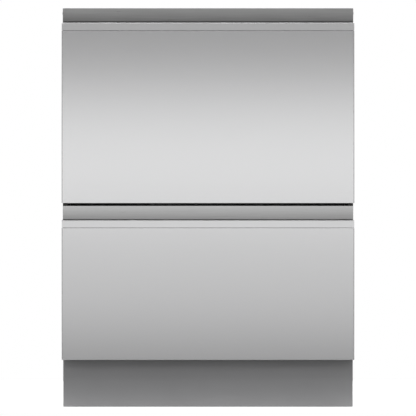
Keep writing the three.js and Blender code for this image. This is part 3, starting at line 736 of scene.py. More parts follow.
def tub(drawer):
    shape, rim = tubShape, drawer.rim
    bm = bmesh.new()

    def discs(*sizes):
        count = 4 * (shape["cornerSteps"] + 1)
        return [circleRing(bm, radius, (0, hubY), rim + z, count) for radius, z in sizes]

    def plans(*sizes):
        return [planRing(bm, shape, inset, rim + z, shape["cornerSteps"]) for inset, z in sizes]

    under, sumpUnder = -shape["deep"], sumpFloor - shape["sumpWall"]
    wall, out, lipZ = shape["wall"], -shape["rimOut"], -shape["rimDrop"]
    edge, bend, mouth = shape["rimEdge"], shape["rimRound"], shape["mouthRound"]
    sump, post, postTop = shape["sumpRadius"], shape["post"], shape["postTop"]
    outside = footBend(0, shape["footRound"], under)
    within = footBend(wall, shape["footRound"] - 2, tubFloor)
    rings = discs((shape["sumpCentre"], sumpUnder), (sump + 2, sumpUnder), (sump + 3, sumpUnder + 1),
                  (sump + 3, under))
    rings += plans(*outside)
    rings += plans((0, lipZ), (out + edge, lipZ), (out, lipZ + edge), (out, -bend), (out + bend, 0),
                   (wall - mouth, 0), (wall, -mouth))
    rings += plans(*reversed(within))
    rings += discs((sump + 2, tubFloor), (sump, tubFloor - 2), (sump, sumpFloor + 1), (sump - 1, sumpFloor),
                   (post + 3, sumpFloor), (post + 0.8, sumpFloor + 0.9), (post, sumpFloor + 3),
                   (post, postTop - 2), (post - 1.4, postTop))
    loft(bm, rings, "capped")
    openWall(bm, (shape["front"], shape["front"] + wall), *cellPlan(drawer))
    drawer.finish(bm, "tub_shell", "tub_plastic", "tub")


tubExtras = {
    "ribs": 8, "ribHalf": 1.2, "ribProud": 3.6, "ribInset": 40, "ribLow": -236, "ribHigh": -8,
    "backRibs": (-210, 210, 7), "railHalf": 8, "railGap": 1, "bracket": (178, 182), "flange": (172, 188),
    "flangeThick": 2.5, "bracketLow": -220, "bracketHigh": -60, "standX": (-198, 198), "standY": (-98, 166),
    "stiffeners": (130, 170), "stiffenerDeep": 5,
}
basketStand = [(0, tubFloor - 1), (9, tubFloor - 1), (9, tubFloor + 0.2), (6.6, tubFloor + 1.2),
               (5.4, tubFloor + 4), (5, -230.2), (4, -229), (0, -229)]


def tubFittings(drawer):
    shape, extras, rim = tubShape, tubExtras, drawer.rim
    low, high = drawer.box("tub")
    railZ = sum(corner.z for corner in drawer.box("runner_inner_left")) / 2
    wallX, half, front, back = shape["half"] - sunk, extras["ribHalf"], shape["front"], shape["back"]
    ribLow, ribHigh, inset = rim + extras["ribLow"], rim + extras["ribHigh"], extras["ribInset"]
    railHalf, railEdge = extras["railHalf"], extras["railHalf"] + extras["railGap"]
    bracketLow, bracketHigh = rim + extras["bracketLow"], rim + extras["bracketHigh"]
    bm = bmesh.new()
    for side in sides.values():
        sideBlock(bm, side, wallX, high.x, front + railHalf, back - railHalf,
                  railZ - railHalf, railZ + railHalf, 1.2)
        for y in evenly(front + inset, back - inset, extras["ribs"]):
            for z0, z1 in ((ribLow, railZ - railEdge), (railZ + railEdge, ribHigh)):
                sideBlock(bm, side, wallX, shape["half"] + extras["ribProud"], y - half, y + half,
                          z0, z1, 0.5)
        sideBlock(bm, side, *extras["bracket"], low.y, front + sunk, bracketLow, bracketHigh, 0.8)
        sideBlock(bm, side, *extras["flange"], low.y, low.y + extras["flangeThick"],
                  bracketLow, bracketHigh, 0.8)
    for x in evenly(*extras["backRibs"]):
        addBlock(bm, (x - half, back - sunk, ribLow), (x + half, back + extras["ribProud"], ribHigh), 0.5)
    for x in extras["standX"]:
        for y in extras["standY"]:  # the dish basket stands on these
            addLathe(bm, basketStand, (x, y, rim), 20)
    for radius in extras["stiffeners"]:
        addLathe(bm, washer(radius - half, radius + half, sunk, -extras["stiffenerDeep"]),
                 (0, hubY, rim - shape["deep"]), 40)
    drawer.finish(bm, "tub_ribs", "tub_plastic")


# dispenser, in a window of the tub's front wall

cell = {"x0": -62, "x1": 34, "z0": -142, "z1": -78, "deep": 14, "wall": 3, "split": -2.5, "pin": (-30, -93)}
releasePin = [(0, 3.2), (2.6, 3.2), (3.2, 2.6), (3.2, 1), (5.6, 1), (6, 0.6), (6, -3.4), (0, -3.4)]
bezelSection = [(-5, 4), (-5, 5.2), (-4.2, 6), (0.6, 6), (1.2, 5.4), (1.2, 0.1), (0.2, 0.1), (0.2, 4)]
capOutline = [(0, 4.6), (11, 4.6), (12.4, 3.8), (13, 2), (13, 0), (0, 0)]
plateEdge = 1.3  # from the window's edge to the plate that carries the cap
plateFront = tubShape["front"] + 1.5


def cellPlan(drawer):  # the window's corners, across and up
    return (cell["x0"], drawer.rim + cell["z0"]), (cell["x1"], drawer.rim + cell["z1"])


def dispenserBody(drawer):
    (x0, z0), (x1, z1) = cellPlan(drawer)
    front, back = tubShape["front"], tubShape["front"] - cell["deep"]
    wall, split = cell["wall"], cell["split"]
    bm = bmesh.new()
    addBlock(bm, (x0 - wall, back, z0 - wall), (x1 + wall, front - 0.1, z1 + wall))
    mouth = facing(bm, (0, 1, 0))
    bmesh.ops.inset_region(bm, faces=mouth, thickness=wall)
    bmesh.ops.translate(bm, vec=(0, wall - cell["deep"], 0), verts=mouth[0].verts[:])
    addBlock(bm, (split - 1, back + 2, z0), (split, front - 0.2, z1))
    pinX, pinZ = cell["pin"]
    addLathe(bm, releasePin, (pinX, back + wall, drawer.rim + pinZ), 24, "Y")
    drawer.finish(bm, "dispenser_body", "arm_plastic")


def dispenserBezel(drawer):
    low, high = cellPlan(drawer)
    front = tubShape["front"]
    bm = bmesh.new()
    loft(bm, [roundedRing(bm, low, high, inset, max(0.5, 4 - inset * 0.6), -front - proud, 4)
              for inset, proud in bezelSection], "joined")
    standUp(bm)
    plateLow, plateHigh = low[1] + plateEdge, high[1] - plateEdge
    addBlock(bm, (cell["split"], front - 2, plateLow), (high[0] - plateEdge, plateFront, plateHigh), 0.5)
    drawer.finish(bm, "dispenser_bezel", "lid_plastic")


def rinseAidCap(drawer):
    (_, z0), (x1, z1) = cellPlan(drawer)
    x, y, z = (cell["split"] + x1) / 2, plateFront, (z0 + z1) / 2
    bm = bmesh.new()
    addLathe(bm, capOutline, (x, y, z), 32, "Y")
    addBlock(bm, (x - 10, y + 4, z - 2), (x + 10, y + 7, z + 2), 1.0)
    drawer.finish(bm, "rinse_aid_cap", "arm_plastic")


def detergentFlap(drawer):
    low, high = drawer.box("dispenser_flap")
    bm = bmesh.new()
    section = [(0.2, low.y + 1.2), (0.2, high.y - 0.6), (0.8, high.y), (4, high.y), (4.6, high.y - 0.6)]
    loft(bm, [roundedRing(bm, (low.x, low.z + 2), (high.x, high.z), inset, max(0.6, 3 - inset * 0.5), -y, 4)
              for inset, y in section], "capped")
    standUp(bm)
    for x in (low.x + 7, high.x - 7):
        addLathe(bm, rod(1.5, -3, 3), (x, high.y - 2, low.z + 1.6), 12, "X")
        addBlock(bm, (x - 3, high.y - 3, low.z + 1), (x + 3, high.y - 0.6, low.z + 5), 0.4)
    middle = (low.x + high.x) / 2
    addBlock(bm, (middle - 7, high.y - 1.5, high.z - 7), (middle + 7, high.y + 1, high.z - 4.5), 0.5)
    drawer.finish(bm, "detergent_flap", "lid_plastic", "dispenser_flap")


# what turns and pumps the water

filterShape = {
    "radius": 97.5, "cup": 25, "plate": 1.2, "aboveSump": 4, "hole": 2.6, "rows": 6, "pitch": 10.5,
    "firstRow": 35,
}
filterRim = closed([(97.9, -1), (98, 4.2), (97, 5), (94.8, 5), (94, 4.2), (94, 0.6), (91, 0.05), (91, -1)])
filterCup = closed([(25.3, -1.2), (25.3, 1.2), (24.4, 1.8), (23.2, 1.2), (22.6, -8), (24, -8), (24.6, -1.2)])


def filterPlate(drawer):
    shape = filterShape
    top = drawer.rim + sumpFloor + shape["aboveSump"]
    centre = (0, hubY)
    bm = bmesh.new()
    circleRing(bm, shape["radius"], centre, top, 48)
    circleRing(bm, shape["cup"], centre, top, 24)
    for row in range(shape["rows"]):
        radius = shape["firstRow"] + row * shape["pitch"]
        count = int(2 * pi * radius / shape["pitch"])
        for i in range(count):
            turn = 2 * pi * (i + 0.5 * (row % 2)) / count
            circleRing(bm, shape["hole"], (radius * cos(turn), hubY + radius * sin(turn)), top, 6)
    thicken(bm, fillFlat(bm, bm.edges[:]), (0, 0, -shape["plate"]))  # the mesh's own order of edges
    addLathe(bm, filterRim, (*centre, top), 48)
    addLathe(bm, filterCup, (*centre, top), 32)
    drawer.finish(bm, "filter_mesh", "filter_steel", "filter_plate")


armShape = {
    "reach": 200, "root": 26, "shoulder": 19, "tip": 11, "bend": 120, "bottom": -250, "top": -239,
    "corner": 9, "ease": 3.4, "ridgeInset": 3.5, "ridge": 0.8, "roofArea": 1000,
    "jets": (60, 105, 150, 185), "jetX": 5,
}
armHub = [(15.5, -263), (21, -263), (22, -262), (22, -239.5), (20.5, -237.6), (9, -236.6), (0, -236.4),
          (0, -241), (15.5, -241), (15.5, -263)]
nozzle = [(0, -1.4), (1.1, -1.4), (1.5, 1.2), (2.6, 1.6), (3.4, 1.0), (4, -0.4), (0, -2)]


def sprayArm(drawer):
    shape, rim = armShape, drawer.rim
    half = [(-shape["root"], 0), (-shape["shoulder"], shape["bend"]), (-shape["tip"], shape["reach"]),
            (shape["tip"], shape["reach"]), (shape["shoulder"], shape["bend"])]
    plan = half + [(-x, -y) for x, y in half]
    bm = bmesh.new()
    face = bm.faces.new([bm.verts.new((x, hubY + y, rim + shape["bottom"])) for x, y in plan])
    roundOff(bm, face.verts, shape["corner"], 4, "VERTICES")
    thicken(bm, bm.faces[:], (0, 0, shape["top"] - shape["bottom"]))
    bmesh.ops.recalc_face_normals(bm, faces=bm.faces)
    crisp = [edge for edge in bm.edges if edge.calc_face_angle(0) > radians(60)]
    roundOff(bm, crisp, shape["ease"], 3)
    roof = [face for face in facing(bm, (0, 0, 1), 0.99) if face.calc_area() > shape["roofArea"]]
    bmesh.ops.inset_region(bm, faces=roof, thickness=shape["ridgeInset"], depth=0)
    bmesh.ops.inset_region(bm, faces=roof, thickness=shape["ridge"], depth=-shape["ridge"])
    addLathe(bm, armHub, (0, hubY, rim), 32)
    for reach in shape["jets"]:
        for end in (-1, 1):
            addLathe(bm, nozzle, (end * shape["jetX"], hubY + end * reach, rim + shape["top"]), 12)
    drawer.finish(bm, "spray_arm_shell", "arm_plastic", "spray_arm")


pumpShape = {
    "bottom": -310, "gap": 0.4, "body": 82, "bodyTall": 22, "motor": 66, "fins": 16, "finHalf": 1.4,
    "heater": (112, 20), "heaterRadius": 24, "pipes": ((112, 20, 205, 9), (-96, -40, 190, 8)),
    "pipeHeight": 16, "wavePitch": 4, "waveDeep": 0.9,
}


def pumpLevels(drawer):  # bottom and top
    return drawer.rim + pumpShape["bottom"], drawer.rim + sumpFloor - tubShape["sumpWall"] - pumpShape["gap"]


def pumpHousing(drawer):
    shape = pumpShape
    bottom, top = pumpLevels(drawer)
    bodyBottom = top - shape["bodyTall"]
    body, motor, half = shape["body"], shape["motor"], shape["finHalf"]
    bm = bmesh.new()
    addLathe(bm, [(0, top), (body - 3, top), (body, top - 3), (body, bodyBottom + 4), (body - 4, bodyBottom),
                  (motor + 1, bodyBottom), (motor, bodyBottom - 1), (motor, bottom + 3), (motor - 3, bottom),
                  (24, bottom), (22, bottom + 2), (0, bottom + 2)], (0, hubY, 0), 48)
    for i in range(shape["fins"]):
        known = set(bm.verts)
        addBlock(bm, (motor - 2, -half, bottom + 2), (body - 3, half, bodyBottom + 1), 0.5)
        fin = newVerts(bm, known)
        turn = Matrix.Rotation(2 * pi * i / shape["fins"], 3, "Z")
        bmesh.ops.rotate(bm, cent=(0, 0, 0), matrix=turn, verts=fin)
        bmesh.ops.translate(bm, vec=(0, hubY, 0), verts=fin)
    addBlock(bm, (60, hubY + 8, bottom + 8), (112, hubY + 32, top - 4), 4, 3)
    addBlock(bm, (-104, hubY - 40, bottom + 8), (-60, hubY - 22, top - 6), 3, 3)
    drawer.finish(bm, "pump_housing", "pump_plastic", "wash_pump")


def heaterCan(drawer):
    bottom, top = pumpLevels(drawer)
    x, y = pumpShape["heater"]
    wide, narrow = pumpShape["heaterRadius"], pumpShape["heaterRadius"] - 2
    bm = bmesh.new()
    addLathe(bm, [(0, top - 2), (narrow, top - 2), (wide, top - 4), (wide, bottom + 6), (narrow, bottom + 4),
                  (0, bottom + 4)], (x, hubY + y, 0), 32)
    drawer.finish(bm, "heater_can", "filter_steel")


def pumpPipes(drawer):  # corrugated, towards the back
    z = pumpLevels(drawer)[0] + pumpShape["pipeHeight"]
    bm = bmesh.new()
    for x, y, y1, radius in pumpShape["pipes"]:
        length = y1 - hubY - y
        steps = int(length / pumpShape["wavePitch"])
        waves = [(radius - (pumpShape["waveDeep"] if i % 2 else 0), length * i / steps)
                 for i in range(steps + 1)]
        addLathe(bm, [(0, 0), *waves, (0, length)], (x, hubY + y, z), 16, "Y")
    drawer.finish(bm, "pump_pipes", "liner_plastic")


for drawer in drawers:
    tub(drawer)
    tubFittings(drawer)
    dispenserBody(drawer)
    dispenserBezel(drawer)
    rinseAidCap(drawer)
    detergentFlap(drawer)
    filterPlate(drawer)
    sprayArm(drawer)
    pumpHousing(drawer)
    heaterCan(drawer)
    pumpPipes(drawer)
print("tubs made")


# racks

rackShape = {
    "levels": (-18, -120, -226), "rimWire": 4.0, "rimBend": 18, "wire": 2.6, "wireBend": 9,
    "alongPitch": 22, "alongMargin": 12, "across": (-131, 199, 11), "lap": 1, "crossDrop": 1.4,
    "tineColumns": (-198, -132, -66, 0), "tineRows": 12, "tineInset": 35, "tineTop": -150, "tineLean": 5,
    "tineWire": 3.2, "clipHalf": (46, 4.5), "clip": (-9, 3),
}


def dishBasket(drawer):
    shape, rim = rackShape, drawer.rim
    low, high = drawer.box("dish_basket")
    railHalf = shape["rimWire"] / 2
    wide, front, back = high.x - railHalf, low.y + railHalf, high.y - railHalf
    top, bottom = rim + shape["levels"][0], rim + shape["levels"][2]
    bm = bmesh.new()
    rails = [[(0, front, z), (wide, front, z), (wide, back, z), (-wide, back, z), (-wide, front, z),
              (0.5, front, z)] for z in (rim + level for level in shape["levels"])]
    addWires(bm, rails, shape["rimWire"], shape["rimBend"])
    halfCount = int((wide - shape["alongMargin"]) / shape["alongPitch"])
    along = [i * shape["alongPitch"] for i in range(-halfCount, halfCount + 1)]
    lap, drop = bottom + shape["lap"], bottom - shape["crossDrop"]
    wires = [[(x, front, top), (x, front, lap), (x, back, lap), (x, back, top)] for x in along]
    wires += [[(-wide, y, top), (-wide, y, drop), (wide, y, drop), (wide, y, top)]
              for y in evenly(*shape["across"])]
    addWires(bm, wires, shape["wire"], shape["wireBend"])
    rows = evenly(front + shape["tineInset"], back - shape["tineInset"], shape["tineRows"])
    tines = [[(x, y, bottom), (x + shape["tineLean"], y, rim + shape["tineTop"])]
             for x in shape["tineColumns"] for y in rows]
    addWires(bm, tines, shape["tineWire"])
    drawer.finish(bm, "basket_wires", "coated_wire", "dish_basket")

    bm = bmesh.new()
    half, thick = shape["clipHalf"]
    clipLow, clipHigh = (top + level for level in shape["clip"])
    for y in (front, back):
        addBlock(bm, (-half, y - thick, clipLow), (half, y + thick, clipHigh), 3, 3)
    drawer.finish(bm, "basket_clips", "arm_plastic")


shelfShape = {
    "rimWire": 4, "rimBend": 8, "wire": 2.6, "wireBend": 6, "wires": 13, "dip": 5, "brace": 45, "tilt": 0.01,
    "path": ((0, 0), (20, 0), (34, -1), (56, -1), (68, 0)), "hingeInset": 40,
}
hingeSleeve = closed([(2.2, -7), (4.2, -7), (5, -6), (5, 6), (4.2, 7), (2.2, 7)])


def cupRack(drawer):
    shape = shelfShape
    low, high = drawer.box("cup_rack")
    z = (low.z + high.z) / 2
    railHalf, dip = shape["rimWire"] / 2, shape["dip"]
    x0, x1, y0, y1 = low.x + railHalf, high.x - railHalf, low.y + railHalf, high.y - railHalf
    middle = (y0 + y1) / 2
    bm = bmesh.new()
    rail = [(x0, middle, z), (x0, y0, z), (x1, y0, z), (x1, y1, z), (x0, y1, z), (x0, middle - 1, z)]
    addWires(bm, [rail], shape["rimWire"], shape["rimBend"])
    cross = [[*((x0 + x, y, z + down * dip) for x, down in shape["path"]), (x1, y, z)]
             for y in evenly(y0, y1, shape["wires"])[1:-1]]
    addWires(bm, cross, shape["wire"], shape["wireBend"])
    braceX = x0 + shape["brace"]
    addWires(bm, [[(braceX, y0, z - dip + shape["tilt"]), (braceX, y1, z - dip)]], shape["wire"])
    drawer.finish(bm, "cup_shelf", "coated_wire", "cup_rack")

    bm = bmesh.new()
    for y in (y0 + shape["hingeInset"], y1 - shape["hingeInset"]):
        addLathe(bm, hingeSleeve, (x0, y, z), 16, "Y")
        addBlock(bm, (x0 - 9, y - 6, z - 5), (x0 - 3.6, y + 6, z + 5), 1)
    drawer.finish(bm, "cup_shelf_hinges", "arm_plastic")


cutleryShape = {
    "brim": -100, "cells": 4, "slat": 2.4, "bar": 2.6, "slatInset": 0.3, "slatFoot": 2, "slatHead": 4,
    "bands": (6, 4, 9), "middleBand": 58, "sideMargin": 3, "sidePitch": 10, "crossMargin": 4, "crossSlats": 6,
    "floorBars": 8, "floorSlats": 30, "handleWire": 5, "handleBend": 14, "handleDrop": 6, "handleHalf": 35,
}


def cutleryBasket(drawer):
    shape = cutleryShape
    low, high = drawer.box("cutlery_basket")
    floor, brim = low.z, drawer.rim + shape["brim"]
    slat, bar, inset = shape["slat"], shape["bar"], shape["slatInset"]
    foot, head = floor + shape["slatFoot"], brim - shape["slatHead"]
    bands = list(zip((floor, floor + shape["middleBand"], brim - shape["bands"][2]), shape["bands"]))
    bm = bmesh.new()
    ys = evenly(low.y, high.y - bar, shape["cells"] + 1)
    for x in (low.x, high.x - bar):  # lattice walls along the sides
        for z, tall in bands:
            addBlock(bm, (x, low.y, z), (x + bar, high.y, z + tall), 0.5, 1)
        margin = shape["sideMargin"]
        for y in evenly(low.y + margin, high.y - margin - slat, int((high.y - low.y) / shape["sidePitch"])):
            addBlock(bm, (x + inset, y, foot), (x + bar - inset, y + slat, head))
    for y in ys:  # and across, between the cells
        for z, tall in bands:
            addBlock(bm, (low.x + 0.2, y, z), (high.x - 0.2, y + bar, z + tall), 0.5, 1)
        margin = shape["crossMargin"]
        for x in evenly(low.x + margin, high.x - margin - slat, shape["crossSlats"]):
            addBlock(bm, (x, y + inset, foot), (x + slat, y + bar - inset, head))
    for x in evenly(low.x + 1, high.x - 1 - slat, shape["floorBars"]):
        addBlock(bm, (x, low.y + 1, floor), (x + slat, high.y - 1, floor + 2.4))
    for y in evenly(low.y + 4, high.y - 4 - slat, shape["floorSlats"]):
        addBlock(bm, (low.x + 1, y, floor + 0.2), (high.x - 1, y + slat, floor + 2.2))
    x, loopZ, foot = (low.x + high.x) / 2, high.z - shape["handleDrop"], brim - shape["handleDrop"]
    y0, y1 = ys[1] + bar / 2, ys[3] + bar / 2
    addWires(bm, [[(x, y0, foot), (x, y0, loopZ), (x, y1, loopZ), (x, y1, foot)]], shape["handleWire"],
             shape["handleBend"])
    middle, half = (ys[1] + ys[3]) / 2 + 1, shape["handleHalf"]
    addBlock(bm, (x - 5, middle - half, loopZ - 5), (x + 5, middle + half, loopZ + 5), 3, 3)
    drawer.finish(bm, "cutlery_cells", "arm_plastic", "cutlery_basket")


for drawer in drawers:
    dishBasket(drawer)
    cupRack(drawer)
    cutleryBasket(drawer)
print("racks made")


# lid, its seal and its lifting motors

lidShape = {
    "half": 266, "front": -226, "back": 252, "corner": 28, "bottom": 18.3, "top": 30.3, "rim": 14,
    "ribDeep": 8, "ribHalf": 1.5, "ribX": (-240, 240, 7), "ribMargin": 80, "crossRibs": 5,
    "lugY": (6, 46), "lugZ": (2, 9),
}
sealSection = [(2, 18), (12, 18), (12, 16), (9.5, 14.6), (10.6, 12.4), (9.2, 10.5), (7, 10), (4.8, 10.5),
               (3.4, 12.4), (4.5, 14.6), (2, 16)]


def lid(drawer):
    shape, rim = lidShape, drawer.rim
    bottom, top = rim + shape["bottom"], rim + shape["top"]
    front, back, half = shape["front"] + shape["rim"], shape["back"] - shape["rim"], shape["ribHalf"]
    section = [(1, bottom), (0, bottom + 1), (0, top - 2), (0.5, top - 0.5), (2, top), (14, top),
               (15.4, top - 0.5), (16, top - 1.8), (16, top - 6), (16.4, top - 6.8), (17.4, top - 7)]
    bm = bmesh.new()
    loft(bm, [planRing(bm, shape, inset, z) for inset, z in section], "capped")
    for x in evenly(*shape["ribX"]):
        addBlock(bm, (x - half, front, top - shape["ribDeep"]), (x + half, back, top - 1), 0.5)
    wide, margin = shape["half"] - shape["rim"], shape["ribMargin"]
    for y in evenly(shape["front"] + margin, shape["back"] - margin, shape["crossRibs"]):
        addBlock(bm, (-wide, y - half, top - shape["ribDeep"]), (wide, y + half, top - 1.3), 0.5)
    high = drawer.box("lid")[1]
    for side in sides.values():  # the lugs that the motors lift
        sideBlock(bm, side, shape["half"] - 2, high.x, *shape["lugY"],
                  *(bottom + z for z in shape["lugZ"]), 1)
    drawer.finish(bm, "lid_shell", "lid_plastic", "lid")

    bm = bmesh.new()
    loft(bm, [planRing(bm, shape, inset, rim + z) for inset, z in sealSection], "joined")
    drawer.finish(bm, "lid_gasket", "seal_rubber", "lid_seal")


motorShape = {"ease": 0.8, "screwInset": 8, "screwDrop": 4, "screwRadius": 2.4, "screwHead": 0.9}


def lidMotors(drawer):
    for label, side in sides.items():
        drawer.ease(f"lid_actuator_{label}", f"lid_motor_{label}", "actuator_plastic", motorShape["ease"])
        low, high = drawer.box(f"lid_actuator_{label}")
        near = min(abs(low.x), abs(high.x))
        bm = bmesh.new()
        for y in (low.y + motorShape["screwInset"], high.y - motorShape["screwInset"]):
            addScrew(bm, (side * near, y, high.z - motorShape["screwDrop"]), "-X" if side > 0 else "X",
                     motorShape["screwRadius"], motorShape["screwHead"])
        finishPiece(bm, drawer.named(f"lid_motor_screws_{label}"), "screw_steel")


# runners

cageShape = {
    "ball": 1.5, "pitch": 16, "first": 6, "stripHalf": (2.4, 0.4),
    "outer": (10, 8, 1.5), "inner": (10, -12, 3.2),
}


def runners(drawer):
    ball, pitch, (wide, thin) = cageShape["ball"], cageShape["pitch"], cageShape["stripHalf"]
    for label in sides:
        for member in ("outer", "middle", "inner"):
            drawer.ease(f"runner_{member}_{label}", f"rail_{member}_{label}", "runner_steel", 0.6)
        low, high = drawer.box(f"runner_middle_{label}")
        centre = (low + high) / 2
        reach = (high.z - low.z) / 2
        outerFrom, outerInset, outside = cageShape["outer"]
        innerInset, innerTo, within = cageShape["inner"]
        balls, strips = bmesh.new(), bmesh.new()
        for y0, y1, height in ((outerFrom, high.y - outerInset, reach + outside),
                               (low.y + innerInset, innerTo, reach - within)):
            for z in (centre.z - height, centre.z + height):
                for i in range(int((y1 - y0) / pitch)):
                    place = Matrix.Translation((centre.x, y0 + cageShape["first"] + i * pitch, z))
                    bmesh.ops.create_icosphere(balls, subdivisions=1, radius=ball, matrix=place)
                addBlock(strips, (centre.x - wide, y0, z - thin), (centre.x + wide, y1, z + thin), 0.2, 1)
        drawer.finish(balls, f"rail_balls_{label}", "screw_steel", body=f"runner_{label}", sharp=80)
        drawer.finish(strips, f"rail_cages_{label}", "actuator_plastic", body=f"runner_{label}")


for drawer in drawers:
    lid(drawer)
    lidMotors(drawer)
    runners(drawer)
print("lids and runners made")


# chassis

sheetShape = {
    "thick": 1, "sideBead": 2.2, "topBead": 1.5, "backBead": 1.6, "toeDeep": 30, "toeTall": 100,
    "sideBeadY": (-190, 225), "sideBeadZ": (150, 210, 265, 480, 540, 600, 655), "sideBeadHalf": 7,
    "topBeadX": (-150, 0, 150), "topBeadY": (-180, 220), "topBeadHalf": 8,
    "backBeadHalf": 230, "backBeadZ": (320, 480, 640), "backBeadTall": 16,
    "flange": 10, "notchGap": 4, "edge": 0.3,
}
sheetScrews = {
    "sideY": (-240, -60, 120, 272), "sideDrop": 10, "railY": (-220, -30, 160, 240),
    "rearY": 276, "rearZ": (200, 400, 600), "topX": (-280, 280), "topY": (-235, -80, 80, 265),
    "backX": (-286, 286), "backZ": (200, 400, 600, 800), "topDimple": 7, "backDimple": 6,
}


def around(xs, ys, half):  # square dimples round the places of screws
    return [((x - half, y - half), (x + half, y + half)) for x in xs for y in ys]


def pressedSheet(bm, low, high, beads, deep):  # drawn in X and Y, pressed in where the beads are
    sheet(bm, [low, (high[0], low[1]), high, (low[0], high[1])], beads, deep)


def sheet(bm, outline, beads, deep):
    corners = [bm.verts.new((x, y, 0)) for x, y in outline]
    edges = [bm.edges.new(pair) for pair in zip(corners, corners[1:] + corners[:1])]
    pressed = []
    for low, high in beads:
        corner = min(high[0] - low[0], high[1] - low[1]) / 2 - 0.05
        rings = [roundedRing(bm, low, high, inset, corner - inset, z, 4)
                 for inset, z in ((0, 0), (deep * 0.9, -deep * 0.8), (deep * 1.5, -deep))]
        edges += rings[0]
        pressed.append(rings)
    faces = fillFlat(bm, edges)
    known = set(bm.faces)
    for rings in pressed:
        loft(bm, rings)
        bmesh.ops.edgeloop_fill(bm, edges=rings[-1])
    faces += [face for face in bm.faces if face not in known]
    thicken(bm, faces, (0, 0, -sheetShape["thick"]))


def toPlace(bm, across, up, out, origin):  # turns a sheet drawn in X and Y so that Z points out of it
    turn = Matrix((across, up, out)).transposed()
    bmesh.ops.rotate(bm, cent=(0, 0, 0), matrix=turn, verts=bm.verts)
    bmesh.ops.translate(bm, vec=origin, verts=bm.verts)


def chassisSide(label, side):
    shape, edge = sheetShape, sheetShape["edge"]
    low, high = boxOf(f"chassis_{label}_side")
    toeY, toeZ, endY = boxOf("kick_plate")[0].y + shape["toeDeep"], shape["toeTall"], backY - edge
    outline = [(chassisFront, toeZ), (toeY, toeZ), (toeY, low.z), (endY, low.z), (endY, high.z),
               (chassisFront, high.z)]
    (y0, y1), half = shape["sideBeadY"], shape["sideBeadHalf"]
    bm = bmesh.new()
    sheet(bm, outline, [((y0, z - half), (y1, z + half)) for z in shape["sideBeadZ"]], shape["sideBead"])
    if side < 0:
        bmesh.ops.scale(bm, vec=(-1, 1, 1), verts=bm.verts)
    toPlace(bm, (0, side, 0), (0, 0, 1), (side, 0, 0), (side * chassisHalf, 0, 0))
    near = chassisHalf - shape["flange"]
    sideBlock(bm, side, near, chassisHalf - 0.2, backY - 2.8, backY - 1.8, low.z, high.z, edge)
    sideBlock(bm, side, near, chassisHalf - 0.2, toeY, endY, low.z, low.z + 1, edge)
    finishPiece(bm, f"side_sheet_{label}", "galvanised_sheet", f"chassis_{label}_side")

    bm = bmesh.new()
    start = toeZ
    notches = sorted((drawer.box(f"runner_outer_{label}") for drawer in drawers), key=lambda box: box[0].z)
    for stop, after in [*((low.z, high.z) for low, high in notches), (high.z + shape["notchGap"], 0)]:
        sideBlock(bm, side, near, chassisHalf, chassisFront - edge, chassisFront + 1, start,
                  stop - shape["notchGap"], edge)
        start = after + shape["notchGap"]
    finishPiece(bm, f"front_flange_{label}", "black_steel")


def chassisTop():
    low, high = boxOf("chassis_top")
    (y0, y1), half = sheetShape["topBeadY"], sheetShape["topBeadHalf"]
    beads = [((x - half, y0), (x + half, y1)) for x in sheetShape["topBeadX"]]
    beads += around(sheetScrews["topX"], sheetScrews["topY"], sheetScrews["topDimple"])
    bm = bmesh.new()
    pressedSheet(bm, (low.x, low.y), (high.x, high.y), beads, sheetShape["topBead"])
    bmesh.ops.translate(bm, vec=(0, 0, high.z), verts=bm.verts)
    finishPiece(bm, "top_sheet", "galvanised_sheet", "chassis_top")


def chassisBack():
    low, high = boxOf("chassis_back")
    half, tall = sheetShape["backBeadHalf"], sheetShape["backBeadTall"]
    beads = [((-half, z), (half, z + tall)) for z in sheetShape["backBeadZ"]]
    beads += around(sheetScrews["backX"], sheetScrews["backZ"], sheetScrews["backDimple"])
    bm = bmesh.new()
    pressedSheet(bm, (low.x, low.z), (high.x, high.z), beads, sheetShape["backBead"])
    toPlace(bm, (1, 0, 0), (0, 0, 1), (0, 1, 0), (0, high.y, 0))
    finishPiece(bm, "back_sheet", "galvanised_sheet", "chassis_back")


def chassisScrews():
    spots = sheetScrews
    bm = bmesh.new()
    for side, axis in ((-1, "-X"), (1, "X")):
        x = side * chassisHalf
        for y in spots["sideY"]:
            addScrew(bm, (x, y, topZ - spots["sideDrop"]), axis)
        for drawer in drawers:
            railZ = sum(corner.z for corner in drawer.box("runner_outer_left")) / 2
            for y in spots["railY"]:
                addScrew(bm, (x, y, railZ), axis, 3.6, 1.3)
        for z in spots["rearZ"]:
            addScrew(bm, (x, spots["rearY"], z), axis)
    for x in spots["topX"]:
        for y in spots["topY"]:
            addScrew(bm, (x, y, topZ - sheetShape["topBead"]), "Z")
    for x in spots["backX"]:
        for z in spots["backZ"]:
            addScrew(bm, (x, boxOf("chassis_back")[1].y - sheetShape["backBead"], z), "Y")
    finishPiece(bm, "chassis_screws", "screw_steel")


# what stands on the service panel: across and height, and outlines measured out of its front

fittings = {"inlet": (-250, 92), "drain": (-195, 112), "gland": (235, 92)}
thread = {"radius": 13.2, "proud": 0.5, "start": 10, "pitch": 0.9, "count": 14}
hexSteps = 6


